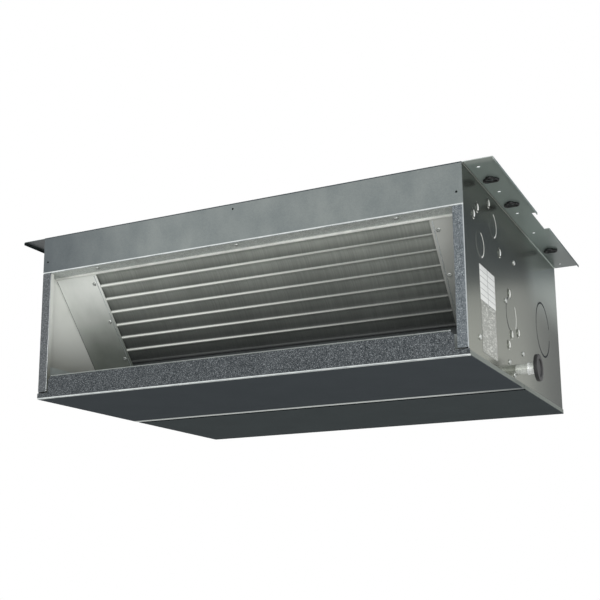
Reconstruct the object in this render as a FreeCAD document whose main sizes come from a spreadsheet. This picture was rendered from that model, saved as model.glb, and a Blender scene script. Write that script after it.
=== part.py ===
"""Ducted fan coil unit: slanted water coil, two double-inlet fans and a folded sheet-steel casing.

The frame stands at the middle of the casing's underside: +X points to the drain side, +Y from the air
outlet back to the return-air side, and +Z up. Lengths are millimetres and angles degrees.
"""

import FreeCAD, Part
import math
import os
import re

import Sketcher

from FreeCAD import Placement, Rotation, Vector

doc = FreeCAD.newDocument("FanCoilUnit")

SIZES = [
    ("casing_width", 740.0, "outside width over the two side panels"),
    ("casing_depth", 580.0, "outside depth from outlet face to return face"),
    ("casing_height", 280.0, "outside height of the casing"),
    ("gauge", 1.0, "thickness of the galvanised sheet"),
    ("seat_gap", 0.3, "assembly gap between neighbouring pieces"),
    ("bend_radius", 1.0, "inside radius of every folded edge"),
    ("flange_width", 46.0, "reach of each hanging flange beyond the side panel"),
    ("flange_lip", 5.0, "height of the stiffening lip on the hanging flange"),
    ("flange_hole_offset", 16.0, "screw holes of the flange, out from the side panel"),
    ("flange_hole_radius", 2.75, "radius of the screw holes in the flange"),
    ("keyhole_offset", 19.0, "centre of each hanger keyhole, out from the side panel"),
    ("keyhole_length", 20.5, "length of a hanger keyhole across the flange"),
    ("keyhole_width", 8.5, "width of a hanger keyhole, for an M8 rod"),
    ("keyhole_lobe", 12.0, "reach of the keyhole's side lobe toward the outlet"),
    ("notch_start", 256.0, "outlet face to the start of the flange notch"),
    ("notch_length", 88.0, "length of the flange notch"),
    ("notch_reach", 9.5, "how far the notch cuts into the flange"),
    ("pad_thickness", 4.0, "thickness of the rubber isolator pads"),
    ("pad_size", 34.0, "side of a rubber isolator pad"),
    ("header_height", 64.0, "height of the front header plate"),
    ("header_lip", 30.0, "depth of the header's lower lip"),
    ("post_width", 16.0, "width of the front posts"),
    ("post_return", 9.0, "depth of the post's folded inner edge"),
    ("post_foot", 12.0, "height of the post's lower end"),
    ("rear_flange", 20.0, "width of the side panel's rear flange"),
    ("top_flange", 12.0, "height of the top panel's side flanges"),
    ("pan_lap", 7.0, "front bottom panel's reach past the fan deck"),
    ("panel_seam", 1.6, "open seam between the two bottom panels"),
    ("upstand_height", 38.0, "height of the front upstand"),
    ("upstand_inset", 20.0, "upstand's end, in from the casing side"),
    ("upstand_chamfer", 5.0, "cut corner of the front upstand"),
    ("upstand_base", 10.0, "full-width height of the front upstand"),
    ("edge_lip", 8.0, "height of the bottom panels' side lips"),
    ("hem_radius", 2.0, "outside radius of the rolled front edges"),
    ("deck_depth", 283.0, "outlet face to the fan deck"),
    ("deck_flange", 14.0, "width of the fan deck's end flanges"),
    ("return_width", 620.0, "width of the return-air opening"),
    ("return_height", 190.0, "height of the return-air opening"),
    ("return_base", 45.0, "height of the return opening's lower edge"),
    ("filter_thickness", 10.0, "thickness of the air filter"),
    ("filter_border", 12.0, "width of the filter frame's bars"),
    ("filter_overlap", 11.0, "how far the filter overlaps the return opening"),
    ("filter_bars", 4.0, "number of cross bars that hold the filter media"),
    ("media_thickness", 5.0, "thickness of the filter media"),
    ("guide_height", 9.0, "height of the filter guide channels"),
    ("tab_length", 14.0, "reach of the filter's pull tab"),
    ("tab_width", 32.0, "width of the filter's pull tab"),
    ("tab_hole", 5.0, "radius of the hole in the filter's pull tab"),
    ("filter_short", 3.6, "end of the filter to the right side panel"),
    ("pan_foam", 5.0, "thickness of the foam under the drain pan"),
    ("pan_height", 58.0, "height of the drain pan's side walls"),
    ("pan_front_height", 34.0, "height of the drain pan's front wall"),
    ("pan_start", 11.0, "outlet face to the drain pan"),
    ("pan_clearance", 4.0, "gap between the drain pan and the fan deck"),
    ("pan_side_gap", 5.0, "gap between drain pan and side panel"),
    ("drain_depth", 254.0, "outlet face to the drain stub's centre line"),
    ("drain_height", 25.0, "height of the drain stub's centre line"),
    ("drain_tube_radius", 8.0, "outside radius of the drain tube"),
    ("drain_bore_radius", 6.0, "inside radius of the drain tube"),
    ("drain_reach", 34.0, "length of the drain stub beyond the side panel"),
    ("ferrule_radius", 9.8, "radius of the ferrule on the drain tube"),
    ("ferrule_length", 13.0, "length of the ferrule on the drain tube"),
    ("cap_radius", 21.5, "outside radius of the drain cap"),
    ("cap_recess_radius", 14.5, "radius of the recess in the drain cap's face"),
    ("cap_thickness", 6.0, "thickness of the drain cap's rim"),
    ("cap_socket", 3.0, "depth of the drain cap's socket for the tube"),
    ("cap_web", 1.0, "thickness of the drain cap between socket and recess"),
    ("coil_angle", 40.0, "lean of the coil from upright"),
    ("coil_top_depth", 34.0, "outlet face to the coil's upper front edge"),
    ("coil_top_height", 215.0, "height of the coil's upper front edge"),
    ("coil_left_space", 80.0, "space beside the coil for the manifolds"),
    ("coil_right_space", 58.0, "space beside the coil for the return bends"),
    ("tube_pitch", 25.0, "distance between neighbouring tubes down the coil"),
    ("tubes_high", 9.0, "number of tubes down the coil"),
    ("row_pitch", 25.0, "distance between the coil's two tube rows"),
    ("tube_radius", 4.75, "outside radius of a coil tube"),
    ("fin_scallop", 2.5, "depth of the hollows along the fins' edges"),
    ("end_plate_gauge", 1.5, "thickness of the coil's end plates"),
    ("end_plate_flange", 12.0, "width of the end plates' outer flange"),
    ("end_plate_border", 6.0, "width of the end plates' frame"),
    ("blank_overlap", 4.0, "how far a blanking plate laps the coil's end"),
    ("blank_return", 16.0, "width of the blanking plate's flange on the side panel"),
    ("blank_length", 200.0, "length of the blanking plates down the slant"),
    ("bend_leg", 9.0, "straight leg of a return bend"),
    ("manifold_radius", 10.0, "outside radius of the copper manifolds"),
    ("manifold_gap", 30.0, "fin pack's end to the manifold's centre line"),
    ("feeder_radius", 4.0, "outside radius of the manifold's feeder tubes"),
    ("inlet_slant", 172.0, "water inlet, down the coil from its upper edge"),
    ("outlet_slant", 38.0, "water outlet, down the coil from its upper edge"),
    ("stub_radius", 11.0, "outside radius of the water stubs"),
    ("stub_reach", 20.0, "bare length of the water stubs outside the casing"),
    ("union_flats", 36.0, "width across the flats of the water unions"),
    ("union_length", 18.0, "length of the water unions"),
    ("union_bore", 11.1, "radius of the water unions' sockets"),
    ("valve_radius", 5.0, "radius of the vent and drain valve bodies"),
    ("valve_seat", 1.3, "how deep a valve body sits in the wall of its stub"),
    ("valve_height", 9.0, "height of the vent and drain valve bodies"),
    ("knob_radius", 7.5, "radius of the valve knobs"),
    ("knob_height", 6.0, "height of the valve knobs"),
    ("shaft_depth", 405.0, "outlet face to the fan shaft"),
    ("shaft_height", 126.0, "height of the fan shaft"),
    ("shaft_radius", 6.0, "radius of the fan shaft"),
    ("wheel_radius", 75.0, "outside radius of the fan wheels"),
    ("wheel_inner", 62.0, "inside radius of the blade ring"),
    ("wheel_width", 180.0, "width of one fan wheel"),
    ("wheel_centre", 186.0, "middle of a fan wheel from the middle of the unit"),
    ("blade_count", 26.0, "number of blades on a fan wheel"),
    ("blade_lead", 9.0, "angle by which a blade's tip leads its root"),
    ("blade_sag", 2.6, "angle by which a blade's middle trails its chord"),
    ("blade_gauge", 0.9, "thickness of a fan blade"),
    ("ring_margin", 0.9, "how far the wheel's rings and disc stand beyond the blades"),
    ("hub_radius", 12.0, "radius of the fan wheel's hub"),
    ("hub_length", 24.0, "length of the fan wheel's hub"),
    ("scroll_gap", 6.5, "gap between wheel and scroll at the tongue"),
    ("scroll_end_radius", 118.0, "scroll radius where it runs into the outlet"),
    ("scroll_side_gap", 7.0, "gap between wheel and scroll side plates"),
    ("scroll_inlet", 60.0, "radius of the scroll's inlets"),
    ("scroll_rim", 10.0, "width of the flange round the scroll outlet"),
    ("motor_radius", 50.0, "outside radius of the motor"),
    ("motor_length", 104.0, "length of the motor shell"),
    ("motor_wall", 2.0, "thickness of the motor shell and end bells"),
    ("boss_radius", 16.0, "radius of the motor's end bosses"),
    ("boss_length", 15.0, "length of the motor's end bosses"),
    ("press_gap", 0.1, "gap round a piece that is pressed into its seat"),
    ("running_gap", 0.05, "gap between the fan shaft and its bearings"),
    ("shaft_overhang", 4.0, "length of the fan shaft beyond the wheels' hubs"),
    ("bearing_radius", 11.0, "outside radius of the motor bearings"),
    ("bearing_width", 7.0, "width of the motor bearings"),
    ("core_length", 60.0, "length of the stator and rotor cores"),
    ("core_radius", 27.0, "radius of the rotor core"),
    ("air_gap", 0.4, "gap between the rotor core and the stator"),
    ("mount_ring", 7.5, "thickness of the motor's rubber rings at their corners"),
    ("ring_start", 3.0, "motor's end to the rubber ring"),
    ("ring_length", 8.0, "length of the motor's rubber rings"),
    ("cradle_top", 8.0, "height of the cradle's uprights above the rubber rings"),
    ("cradle_foot", 30.0, "height of the cradle's foot on the fan deck"),
    ("cradle_gauge", 2.0, "thickness of the motor cradle"),
    ("cradle_width", 64.0, "width of the cradle's uprights"),
    ("cradle_drop", 62.0, "shaft to the cradle's shelf"),
    ("box_depth", 40.0, "how far the electrical box stands off the side"),
    ("box_start", 330.0, "outlet face to the electrical box"),
    ("box_length", 180.0, "length of the electrical box"),
    ("box_base", 62.0, "height of the electrical box's lower side"),
    ("box_height", 120.0, "height of the electrical box"),
    ("gland_radius", 9.0, "radius of the cable glands"),
    ("gland_length", 14.0, "length of the cable glands"),
    ("gland_neck", 6.6, "radius of the neck of the cable glands"),
    ("gland_bore", 4.0, "radius of the hole through the cable glands"),
    ("cable_inset", 30.0, "box's front end to the cable hole into the casing"),
    ("terminal_depth", 16.0, "depth and height of the terminal block"),
    ("terminal_length", 60.0, "length of the terminal block"),
    ("terminal_rise", 26.0, "box's lower side to the terminal block"),
    ("terminal_ways", 6.0, "number of ways in the terminal block"),
    ("capacitor_radius", 13.0, "radius of the run capacitor"),
    ("capacitor_length", 48.0, "length of the run capacitor"),
    ("dimple_radius", 7.5, "radius of the pressed dimples in the side panels"),
    ("dimple_height", 1.2, "height of the pressed dimples"),
    ("knockout_slot", 1.6, "width of the slots round the knock-outs"),
    ("knockout_tab", 5.0, "width of the tabs that hold the knock-outs"),
    ("screw_radius", 4.0, "radius of a screw head"),
    ("screw_height", 2.2, "height of a screw head"),
    ("coil_screw_radius", 3.4, "radius of the coil screws' heads"),
    ("coil_screw_height", 1.6, "height of the coil screws' heads"),
    ("pilot_radius", 1.8, "radius of the small open pilot holes"),
    ("pilot_inset", 9.0, "pilot holes, in from the header's ends and its top"),
    ("pilot_rise", 20.0, "pilot holes, up from the header's lower edge"),
    ("header_screw_depth", 12.0, "outlet face to the screws in the header's lip"),
]

sheet = doc.addObject("Spreadsheet::Sheet", "Sizes")
for row, (alias, value, note) in enumerate(SIZES, start=1):
    sheet.set("A%d" % row, note)
    sheet.set("B%d" % row, str(value))
    sheet.setAlias("B%d" % row, alias)
doc.recompute()

ALIASES = {alias for alias, _, _ in SIZES}
ALONG_X = Rotation(Vector(0, 1, 0), 90)
ALONG_Y = Rotation(Vector(1, 0, 0), -90)
ALONG_Z = Rotation()
RIGHT = 1
LEFT = -1

HALF_WIDTH = "(casing_width / 2)"
FRONT = "(-casing_depth / 2)"
REAR = "(casing_depth / 2)"
INSIDE = "(casing_width / 2 - gauge - seat_gap)"
HEADER_LOW = "(casing_height - header_height)"
WEB_LOW = "(gauge + seat_gap)"
COIL_LEFT = "(-casing_width / 2 + coil_left_space)"
COIL_RIGHT = "(casing_width / 2 - coil_right_space)"
COIL_LENGTH = "(tube_pitch * tubes_high)"
COIL_THICK = "(row_pitch * 2)"
SHAFT_Y = "(-casing_depth / 2 + shaft_depth)"
DECK_BACK = "(-casing_depth / 2 + deck_depth + gauge)"
REAR_PLATE = "(casing_depth / 2 - 2 * gauge - seat_gap)"
FILTER_BACK = "(casing_depth / 2 - 3 * gauge - 3 * seat_gap)"
FILTER_LOW = "(return_base - filter_overlap)"
FILTER_HIGH = "(return_base + return_height + filter_overlap)"
SCROLL_HALF = "(wheel_width / 2 + scroll_side_gap)"

GLAND_SHARES = (0.3, 0.6)
KNOCKOUT_SIDES = 20
MOTOR_SIDES = 24
ROUND_SIDES = 12
SMALL_SIDES = 8
BEND_CHORDS = 4
OUTLINE_START = 100.0

parts = []


def size(alias):
    """A driving dimension as a plain number."""
    return float(sheet.get(alias))


def qualified(expression):
    """The expression with each alias pointed at its spreadsheet cell."""
    def point(match):
        word = match.group(0)
        return "Sizes." + word if word in ALIASES else word
    return re.sub(r"[a-z_]+", point, str(expression))


def bind(feature, prop, expression):
    """Ties one property of a feature to the spreadsheet."""
    feature.setExpression(prop, qualified(expression))


def place(feature, x, y, z, rotation=ALONG_Z):
    """Puts a feature's own origin at a bound place."""
    feature.Placement = Placement(Vector(), rotation)
    bind(feature, ".Placement.Base.x", x)
    bind(feature, ".Placement.Base.y", y)
    bind(feature, ".Placement.Base.z", z)
    return feature


def at_depth(depth):
    """Y of a place given by its distance behind the outlet face."""
    return "(-casing_depth / 2 + %s)" % depth


def sided(side, low, high):
    """The X range of a place beside the casing, mirrored for the left side."""
    if side == RIGHT:
        return low, high
    return "(-(%s))" % high, "(-(%s))" % low


def block(x_range, y_range, z_range, name="Block"):
    """A box from its ranges along the three axes."""
    feature = doc.addObject("Part::Box", name)
    for prop, (low, high) in zip(("Length", "Width", "Height"), (x_range, y_range, z_range)):
        bind(feature, prop, "(%s) - (%s)" % (high, low))
    return place(feature, x_range[0], y_range[0], z_range[0])


def rod(radius, length, x, y, z, axis=ALONG_X, name="Rod"):
    """A cylinder that starts at a place and runs along an axis."""
    feature = doc.addObject("Part::Cylinder", name)
    bind(feature, "Radius", radius)
    bind(feature, "Height", length)
    return place(feature, x, y, z, axis)


def prism(sides, radius, length, x, y, z, axis=ALONG_X, name="Prism"):
    """A regular bar that starts at a place and runs along an axis; the radius reaches its corners."""
    feature = doc.addObject("Part::Prism", name)
    feature.Polygon = sides
    bind(feature, "Circumradius", radius)
    bind(feature, "Height", length)
    return place(feature, x, y, z, axis)


def fuse(features, name="Joined"):
    """One solid from several that touch."""
    if len(features) == 1:
        return features[0]
    feature = doc.addObject("Part::MultiFuse", name)
    feature.Shapes = features
    feature.Refine = True
    return feature


def group(features, name="Group"):
    """Separate solids kept together as one sub-part."""
    feature = doc.addObject("Part::Compound", name)
    feature.Links = features
    return feature


def cut(base, tools, name="Trimmed"):
    """A solid with the tools' volumes taken away."""
    feature = doc.addObject("Part::Cut", name)
    feature.Base = base
    feature.Tool = tools[0] if len(tools) == 1 else group(tools, "Cutters")
    feature.Refine = True
    return feature


def tube(outer, inner, length, x, y, z, axis=ALONG_X, name="Tube", sides=ROUND_SIDES):
    """A straight tube with flat sides."""
    return cut(prism(sides, outer, length, x, y, z, axis), [prism(sides, inner, length, x, y, z, axis)], name)


def keep(feature, label):
    """Lists a finished feature as a sub-part."""
    feature.Label = label
    parts.append(feature)
    return feature


def computed(shape, name):
    """A feature whose shape this script works out from the sheet's sizes."""
    feature = doc.addObject("Part::Feature", name)
    feature.Shape = shape
    return feature


def folded(plane, corners, length, inner=(), outer=(), inner_radius="bend_radius",
           outer_radius="bend_radius + gauge", name="Folded"):
    """A folded sheet: a closed outline padded both ways from a plane, with rounded folds.

    The outline's corners are pairs of bound coordinates. The inner and outer lists number the corners
    on the inside and on the outside of each fold.
    """
    body = doc.addObject("PartDesign::Body", name)
    sketch = body.newObject("Sketcher::SketchObject", name + "Outline")
    origin = [item for item in body.Origin.OriginFeatures if item.Role == plane][0]
    sketch.AttachmentSupport = [(origin, "")]
    sketch.MapMode = "FlatFace"
    count = len(corners)
    ring = [Vector(math.cos(2 * math.pi * i / count), math.sin(2 * math.pi * i / count), 0) * OUTLINE_START
            for i in range(count)]
    for i in range(count):
        sketch.addGeometry(Part.LineSegment(ring[i], ring[(i + 1) % count]), False)
    for i in range(count):
        sketch.addConstraint(Sketcher.Constraint("Coincident", i, 2, (i + 1) % count, 1))
    for i, (across, up) in enumerate(corners):
        for kind, value, start in (("DistanceX", across, ring[i].x), ("DistanceY", up, ring[i].y)):
            index = sketch.addConstraint(Sketcher.Constraint(kind, -1, 1, i, 1, start))
            bind(sketch, "Constraints[%d]" % index, value)
    pad = body.newObject("PartDesign::Pad", name + "Pad")
    pad.Profile = sketch
    pad.SideType = "Symmetric"
    bind(pad, "Length", length)
    body.Tip = pad
    doc.recompute()
    tip = pad
    for numbers, radius in ((inner, inner_radius), (outer, outer_radius)):
        if not numbers:
            continue
        places = [sketch.Placement.multVec(sketch.Geometry[i].StartPoint) for i in numbers]
        tip = round_folds(body, tip, places, radius, name)
    return body


def round_folds(body, base, places, radius, name):
    """Rounds the long edges of a padded outline that pass through the given corners."""
    normal = body.Group[0].Placement.Rotation.multVec(Vector(0, 0, 1))
    found = []
    for number, edge in enumerate(base.Shape.Edges, start=1):
        start, end = edge.Vertexes[0].Point, edge.Vertexes[-1].Point
        run = end - start
        if run.Length < 1 or abs(abs(run.normalize().dot(normal)) - 1) > 1e-6:
            continue
        across = [(start - corner) - normal * (start - corner).dot(normal) for corner in places]
        if min(step.Length for step in across) < 1e-4:
            found.append("Edge%d" % number)
    fillet = body.newObject("PartDesign::Fillet", name + "Fold")
    fillet.Base = (base, found)
    bind(fillet, "Radius", radius)
    body.Tip = fillet
    doc.recompute()
    return fillet


# Where things sit on the side panels: distance behind the outlet face, and share of the casing's height

FLANGE_HOLES = (30, 139, 247, 356, 558)
KEYHOLES = (84, 200, 465)
DIMPLES = ((48.5, 0.7786), (69, 0.8357), (131, 0.9321), (183, 0.7036), (230, 0.5143), (234, 0.2786),
           (276, 0.3179), (214, 0.2071))
SIDE_RIVETS = ((269, 0.7286), (206, 0.45), (56, 0.1321), (213.5, 0.1071), (240, 0.05), (300, 0.2107))
KNOCKOUTS = ((152, 0.8286, 19), (78, 0.6429, 19), (237, 0.3929, 30), (453, 0.4714, 48))
COIL_SCREWS = (18, 91, 165)
HEADER_SCREWS = (-266, 0, 266)


def keyhole(side, depth):
    """Cutter for a hanger keyhole: a round-ended slot across the flange and a lobe to the front."""
    low = "casing_height - 2 * gauge"
    tall = "3 * gauge"
    half = "keyhole_width / 2"
    reach = "(keyhole_length / 2 - keyhole_width / 2)"
    middle = "(casing_width / 2 + keyhole_offset)"
    ends = sided(side, "%s - %s" % (middle, reach), "%s + %s" % (middle, reach))
    centre = "%d * %s" % (side, middle)
    y = at_depth(depth)
    high = "(casing_height + gauge)"
    lobe = y + " - keyhole_lobe + " + half
    corner = "(keyhole_width / 2)"
    return [
        block(ends, (y + " - " + half, y + " + " + half), (low, high)),
        prism(ROUND_SIDES, corner, tall, ends[0], y, low, ALONG_Z),
        prism(ROUND_SIDES, corner, tall, ends[1], y, low, ALONG_Z),
        block((centre + " - keyhole_width / 2", centre + " + keyhole_width / 2"), (lobe, y), (low, high)),
        prism(ROUND_SIDES, corner, tall, centre, lobe, low, ALONG_Z, "KeyholeLobe"),
    ]


def at_share(share):
    """Height at a share of the casing's height."""
    return "(casing_height * %g)" % share


def knockout(side, depth, share, radius):
    """Cutter for the two slots round a knock-out disc, which two tabs still hold."""
    start = "%d * casing_width / 2 - 2 * gauge" % side
    length = "4 * gauge"
    y, height = at_depth(depth), at_share(share)
    ring = cut(prism(KNOCKOUT_SIDES, "%g" % radius, length, start, y, height),
               [prism(KNOCKOUT_SIDES, "%g - knockout_slot" % radius, length, start, y, height)],
               "KnockoutRing")
    level = block((start, start + " + " + length), (y + " - %g" % (radius + 1), y + " + %g" % (radius + 1)),
                  (height + " - knockout_tab / 2", height + " + knockout_tab / 2"))
    return cut(ring, [level], "KnockoutSlots")


def outward(side, value):
    """X of a place given as its distance from the middle of the unit."""
    return "%d * (%s)" % (side, value)


def hanging_flange(side):
    """The part of a side panel's sheet past its upper fold: a level flange with a lip, holes and a notch."""
    flange_end = "casing_width / 2 + flange_width"
    start = "casing_width / 2 + 2 * bend_radius"
    outline = [
        (outward(side, start), "casing_height - gauge"),
        (outward(side, flange_end + " - gauge"), "casing_height - gauge"),
        (outward(side, flange_end + " - gauge"), "casing_height - flange_lip"),
        (outward(side, flange_end), "casing_height - flange_lip"),
        (outward(side, flange_end), "casing_height"),
        (outward(side, start), "casing_height"),
    ]
    name = "RightFlange" if side == RIGHT else "LeftFlange"
    flange = folded("XZ_Plane", outline, "casing_depth - gauge - seat_gap", inner=(1,), outer=(4,), name=name)
    place(flange, "0", "(gauge + seat_gap) / 2", "0")
    cutters = [
        block(sided(side, flange_end + " - notch_reach", flange_end + " + gauge"),
              (at_depth("notch_start"), at_depth("notch_start + notch_length")),
              ("casing_height - flange_lip - gauge", "casing_height + gauge")),
    ]
    for depth in FLANGE_HOLES:
        cutters.append(rod("flange_hole_radius", "3 * gauge",
                           outward(side, "casing_width / 2 + flange_hole_offset"), at_depth(depth),
                           "casing_height - 2 * gauge", ALONG_Z))
    for depth in KEYHOLES:
        cutters.extend(keyhole(side, depth))
    return cut(flange, cutters, name + "Holed")


def side_panel(side):
    """A side panel: web up to its hanging flange, front post with folded edge, and rear flange."""
    flange_start = "casing_width / 2 + 2 * bend_radius"
    outline = [
        (outward(side, "casing_width / 2 - gauge"), WEB_LOW),
        (outward(side, HALF_WIDTH), WEB_LOW),
        (outward(side, HALF_WIDTH), "casing_height - gauge"),
        (outward(side, flange_start), "casing_height - gauge"),
        (outward(side, flange_start), "casing_height"),
        (outward(side, "casing_width / 2 - gauge"), "casing_height"),
    ]
    name = "RightSide" if side == RIGHT else "LeftSide"
    web = folded("XZ_Plane", outline, "casing_depth - gauge - seat_gap", inner=(2,), outer=(5,), name=name)
    place(web, "0", "(gauge + seat_gap) / 2", "0")
    post_top = HEADER_LOW + " - seat_gap"
    front_sheet = (FRONT, FRONT + " + gauge")
    pieces = [
        web,
        block(sided(side, HALF_WIDTH + " - post_width", HALF_WIDTH), front_sheet, ("post_foot", post_top)),
        block(sided(side, HALF_WIDTH + " - gauge", HALF_WIDTH), (FRONT, FRONT + " + 3 * gauge"),
              ("post_foot", post_top)),
        block(sided(side, HALF_WIDTH + " - post_width", HALF_WIDTH + " - post_width + gauge"),
              (FRONT, FRONT + " + post_return"), ("post_foot", post_top)),
        block(sided(side, HALF_WIDTH + " - rear_flange", HALF_WIDTH), (REAR + " - gauge", REAR),
              (WEB_LOW, "casing_height - gauge")),
    ]
    for depth, share in DIMPLES if side == RIGHT else ():
        pieces.append(prism(ROUND_SIDES, "dimple_radius", "dimple_height + gauge / 2",
                            "casing_width / 2 - gauge / 2", at_depth(depth), at_share(share), name="Dimple"))
    solid = fuse(pieces, name + "Sheet")
    cutters = []
    start = outward(side, HALF_WIDTH) + " - 2 * gauge"
    if side == RIGHT:
        for depth, share, radius in KNOCKOUTS:
            cutters.append(knockout(side, depth, share, radius))
        cutters.append(prism(MOTOR_SIDES, "drain_tube_radius + 3 * seat_gap", "4 * gauge", start,
                             at_depth("drain_depth"), "drain_height"))
    else:
        for slant, row in (("inlet_slant", 0), ("outlet_slant", 1)):
            y, z = on_coil("row_pitch * (%d + 0.5)" % row, slant)
            cutters.append(prism(MOTOR_SIDES, "stub_radius + gauge", "4 * gauge", start, y, z))
        cutters.append(block((start, start + " + 4 * gauge"),
                             (FILTER_BACK + " - filter_thickness - 2 * seat_gap",
                              FILTER_BACK + " + 2 * seat_gap"),
                             (FILTER_LOW + " - 2 * seat_gap", FILTER_HIGH + " + 2 * seat_gap")))
        cutters.append(prism(ROUND_SIDES, "gland_radius", "4 * gauge", start,
                             at_depth("box_start + cable_inset"), "box_base + box_height / 2"))
    return cut(solid, cutters, name + "Panel")


def on_coil(behind, down):
    """Y and Z of a point of the slanted coil, by its distance behind the face and down the slant."""
    y = ("(-casing_depth / 2 + coil_top_depth + (%s) * cos(coil_angle) + (%s) * sin(coil_angle))"
         % (behind, down))
    z = "(coil_top_height + (%s) * sin(coil_angle) - (%s) * cos(coil_angle))" % (behind, down)
    return y, z


def leaned(feature, x, behind, down, turn=0):
    """Places a feature on the coil and leans it with the coil, turned further about X if asked."""
    y, z = on_coil(behind, down)
    place(feature, x, y, z, Rotation(Vector(1, 0, 0), 1))
    bind(feature, ".Placement.Rotation.Angle", "coil_angle + %g" % turn)
    return feature


def coil_block(x_range, behind, down, name="CoilBlock"):
    """A box in the coil's own leaning directions."""
    feature = block(x_range, behind, ("-(%s)" % down[1], "-(%s)" % down[0]), name)
    return leaned(feature, x_range[0], behind[0], down[1])


def top_panel():
    """The top panel, a shallow tray turned down along both sides."""
    outline = [
        ("-" + INSIDE, "casing_height - top_flange"),
        ("-%s + gauge" % INSIDE, "casing_height - top_flange"),
        ("-%s + gauge" % INSIDE, "casing_height - gauge"),
        ("%s - gauge" % INSIDE, "casing_height - gauge"),
        ("%s - gauge" % INSIDE, "casing_height - top_flange"),
        (INSIDE, "casing_height - top_flange"),
        (INSIDE, "casing_height"),
        ("-" + INSIDE, "casing_height"),
    ]
    body = folded("XZ_Plane", outline, "casing_depth - 2 * (gauge + seat_gap)", inner=(2, 3), outer=(6, 7),
                  name="TopSheet")
    return body


def front_header():
    """The front header: an upright plate folded in along its lower edge to make the lip."""
    outline = [
        (FRONT, HEADER_LOW),
        (FRONT + " + header_lip", HEADER_LOW),
        (FRONT + " + header_lip", HEADER_LOW + " + gauge"),
        (FRONT + " + gauge", HEADER_LOW + " + gauge"),
        (FRONT + " + gauge", "casing_height"),
        (FRONT, "casing_height"),
    ]
    sheet_body = folded("YZ_Plane", outline, "casing_width", inner=(3,), outer=(0,),
                        outer_radius="hem_radius", name="HeaderSheet")
    returns = []
    cutters = []
    for side in (RIGHT, LEFT):
        returns.append(block(sided(side, INSIDE + " - gauge", INSIDE), (FRONT, FRONT + " + post_width"),
                             (HEADER_LOW, "casing_height - top_flange - 2 * gauge")))
        cutters.append(block(sided(side, INSIDE, HALF_WIDTH + " + gauge"),
                             (FRONT + " + gauge", FRONT + " + header_lip + gauge"),
                             (HEADER_LOW + " - gauge", "casing_height + gauge")))
        pilot_x = "%d * (casing_width / 2 - pilot_inset)" % side
        cutters.append(prism(SMALL_SIDES, "pilot_radius", "3 * gauge", pilot_x, FRONT + " - gauge",
                             HEADER_LOW + " + pilot_rise", ALONG_Y))
    cutters.append(prism(SMALL_SIDES, "pilot_radius", "3 * gauge", "0", FRONT + " - gauge",
                         "casing_height - pilot_inset", ALONG_Y))
    return cut(fuse([sheet_body] + returns, "HeaderFolded"), cutters, "HeaderPlate")


def front_pan():
    """The front bottom panel with its front upstand and the lips that lap the side panels."""
    outline = [
        (FRONT, "0"),
        (at_depth("deck_depth + pan_lap"), "0"),
        (at_depth("deck_depth + pan_lap"), "gauge"),
        (FRONT + " + gauge", "gauge"),
        (FRONT + " + gauge", "upstand_height"),
        (FRONT, "upstand_height"),
    ]
    sheet_body = folded("YZ_Plane", outline, "casing_width + 2 * (gauge + seat_gap)", inner=(3,), outer=(0,),
                        outer_radius="hem_radius", name="FrontPanSheet")
    lips = [side_lip(side, FRONT + " + hem_radius", at_depth("deck_depth + pan_lap"))
            for side in (RIGHT, LEFT)]
    cutters = []
    sheet_depth = (FRONT + " - gauge", FRONT + " + 3 * gauge")
    for side in (RIGHT, LEFT):
        cutters.append(block(sided(side, HALF_WIDTH + " - upstand_inset", HALF_WIDTH + " + 3 * gauge"),
                             sheet_depth, ("upstand_base", "upstand_height + gauge")))
        corner = block(("-upstand_chamfer", "upstand_chamfer"), sheet_depth,
                       ("-upstand_chamfer", "upstand_chamfer"))
        place(corner, "%d * (casing_width / 2 - upstand_inset) - upstand_chamfer * sqrt(2)" % side,
              FRONT + " - gauge", "upstand_height", Rotation(Vector(0, 1, 0), 45))
        cutters.append(corner)
    return cut(fuse([sheet_body] + lips, "FrontPanFolded"), cutters, "FrontPan")


def side_lip(side, start, end):
    """The upturned edge of a bottom panel, outside the side panel."""
    return block(sided(side, HALF_WIDTH + " + seat_gap", HALF_WIDTH + " + seat_gap + gauge"), (start, end),
                 ("0", "edge_lip"))


def rear_pan():
    """The rear bottom panel, which comes off to reach the fans."""
    start = at_depth("deck_depth + pan_lap + panel_seam")
    outline = [
        (start, "0"),
        (REAR, "0"),
        (REAR, "gauge"),
        (start + " + gauge", "gauge"),
        (start + " + gauge", "edge_lip"),
        (start, "edge_lip"),
    ]
    sheet_body = folded("YZ_Plane", outline, "casing_width + 2 * (gauge + seat_gap)", inner=(3,), outer=(0,),
                        name="RearPanSheet")
    lips = [side_lip(side, start + " + 2 * gauge", REAR) for side in (RIGHT, LEFT)]
    cutters = [block(sided(side, INSIDE + " - gauge", HALF_WIDTH + " + 3 * gauge"),
                     (start + " - gauge", start + " + gauge"), ("gauge", "edge_lip + gauge"))
               for side in (RIGHT, LEFT)]
    return cut(fuse([sheet_body] + lips, "RearPanFolded"), cutters, "RearPan")


def rear_frame():
    """The rear plate with the return-air opening."""
    half = INSIDE + " - gauge - seat_gap"
    plate = block(("-(%s)" % half, half), (REAR_PLATE, REAR_PLATE + " + gauge"),
                  (WEB_LOW, "casing_height - gauge - seat_gap"))
    opening = block(("-return_width / 2", "return_width / 2"), (REAR_PLATE + " - gauge", REAR),
                    ("return_base", "return_base + return_height"))
    return cut(plate, [opening], "RearPlate")


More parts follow.
